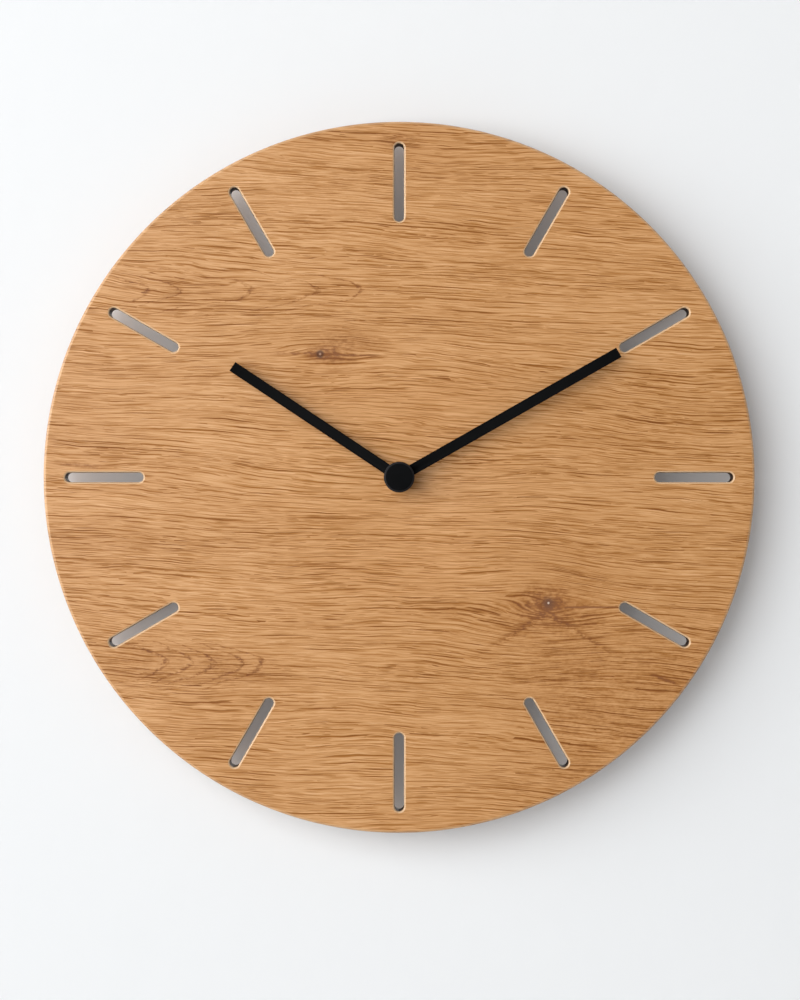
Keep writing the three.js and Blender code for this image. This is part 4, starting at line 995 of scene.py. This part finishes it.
def wall_finish():
    """White plaster with a faint trowelled unevenness. Its back can't be seen, and it lets the lamp behind it
    through to what the camera sees directly, so that the back of the clock shows and is lit."""
    plaster = Finish("white_plaster")
    point = plaster.place((axis_x, 0, axis_z))
    rough = plaster.noise(point, scale=0.06, detail=5.0)
    across, _, _ = plaster.parts(point)
    pale = plaster.blend((across / 400.0 + 0.5).within(), (0.826, 0.854, 0.887), (0.885, 0.915, 0.950))
    paint = {"Color": pale, "Normal": plaster.bump(rough, 0.6, 0.25)}
    front = matt_with_glow(plaster, paint, 0.90, 0.12)
    shadow_ray, bounces = plaster.node("ShaderNodeLightPath", {}, {}, ("Is Shadow Ray", "Diffuse Depth"))
    lets_through = shadow_ray * bounces.math("LESS_THAN", 0.5)
    behind = plaster.node("ShaderNodeNewGeometry", {}, {}, "Backfacing")
    clear = plaster.node("ShaderNodeBsdfTransparent", {}, {})
    share = behind.math("MAXIMUM", lets_through)
    return plaster.ends(plaster.node("ShaderNodeMixShader", {}, {0: share, 1: front, 2: clear}))


def floor_finish():
    """Pale painted boards, white to the camera and duller to the light that bounces off them."""
    paint = Finish("pale_floor")
    cloud = paint.noise(paint.place(), scale=0.004, detail=3.0)
    tone = paint.blend(cloud, (0.40, 0.40, 0.40), (0.44, 0.44, 0.44))
    return paint.ends(matt_with_glow(paint, {"Color": tone}, 0.95, 0.8))


wall_top = floor_height + wall_height
floor_front = wall_front - floor_depth
backdrop("wall", [(-wall_half, wall_front, floor_height), (wall_half, wall_front, floor_height),
                  (wall_half, wall_front, wall_top), (-wall_half, wall_front, wall_top)], wall_finish())
backdrop("floor", [(-wall_half, floor_front, floor_height), (wall_half, floor_front, floor_height),
                   (wall_half, wall_front, floor_height), (-wall_half, wall_front, floor_height)],
         floor_finish())


# Soft studio light: a large soft box at the upper left in front, a smaller one that grazes the dial from the
# left, one behind for the back, and the room's own light, which the camera sees as a pale grey.
class Room(Finish):
    """The room round the clock, whose shader is made of nodes as a finish is."""

    def __init__(self, name):
        self.world = bpy.data.worlds.new(name)
        self.world.use_nodes = True
        self.tree = self.world.node_tree
        self.tree.nodes.clear()
        bpy.context.scene.world = self.world

    def ends(self, shader):
        """Hands a shader to the output of the world."""
        out = self.tree.nodes.new("ShaderNodeOutputWorld")
        self.tree.links.new(shader.socket, out.inputs["Surface"])


room = Room("studio")
light = room.node("ShaderNodeBackground", {}, {"Color": (1.0, 0.97, 0.94, 1.0), "Strength": 0.28})
pale = room.node("ShaderNodeBackground", {}, {"Color": (0.79, 0.79, 0.79, 1.0), "Strength": 1.0})
room.ends(room.node("ShaderNodeMixShader", {}, {0: seen_by_camera(room), 1: light, 2: pale}))


def soft_box(name, place, target, size, power, colour=(1.0, 1.0, 1.0)):
    """A square soft box at a place, facing a target."""
    lamp = bpy.data.lights.new(name, "AREA")
    lamp.size = size
    lamp.energy = power
    lamp.color = colour
    made = bpy.data.objects.new(name, lamp)
    made.location = place
    made.rotation_euler = (Vector(target) - Vector(place)).to_track_quat("-Z", "Y").to_euler()
    bpy.context.scene.collection.objects.link(made)


dial_middle = (axis_x, board_low.y, axis_z)
daylight = (1.0, 0.99, 0.97)
soft_box("key", (-1.5, -2.3, axis_z + 0.52), dial_middle, 2.5, 73.0, daylight)
soft_box("window", (-1.87, -0.6, axis_z + 0.36), dial_middle, 0.9, 17.0, daylight)
soft_box("back", (1.0, 2.2, axis_z + 0.9), dial_middle, 1.6, 42.0)


# The camera stands square to the dial, 1.1 m off and a little below the axis. The picture's height is
# measured in the plane of the dial.
camera_distance = 1.1
picture_height = 0.4916
camera_right = 0.0004
camera_below = 0.01116
camera = bpy.data.cameras.new("camera")
camera.sensor_width = 36.0
camera.lens = camera.sensor_width * camera_distance / picture_height
stand = bpy.data.objects.new("camera", camera)
stand.location = (camera_right, board_low.y - camera_distance, axis_z - camera_below)
stand.rotation_euler = (math.radians(90), 0, 0)
bpy.context.scene.collection.objects.link(stand)
bpy.context.scene.camera = stand
bpy.context.scene.view_settings.view_transform = "Standard"

low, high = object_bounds()
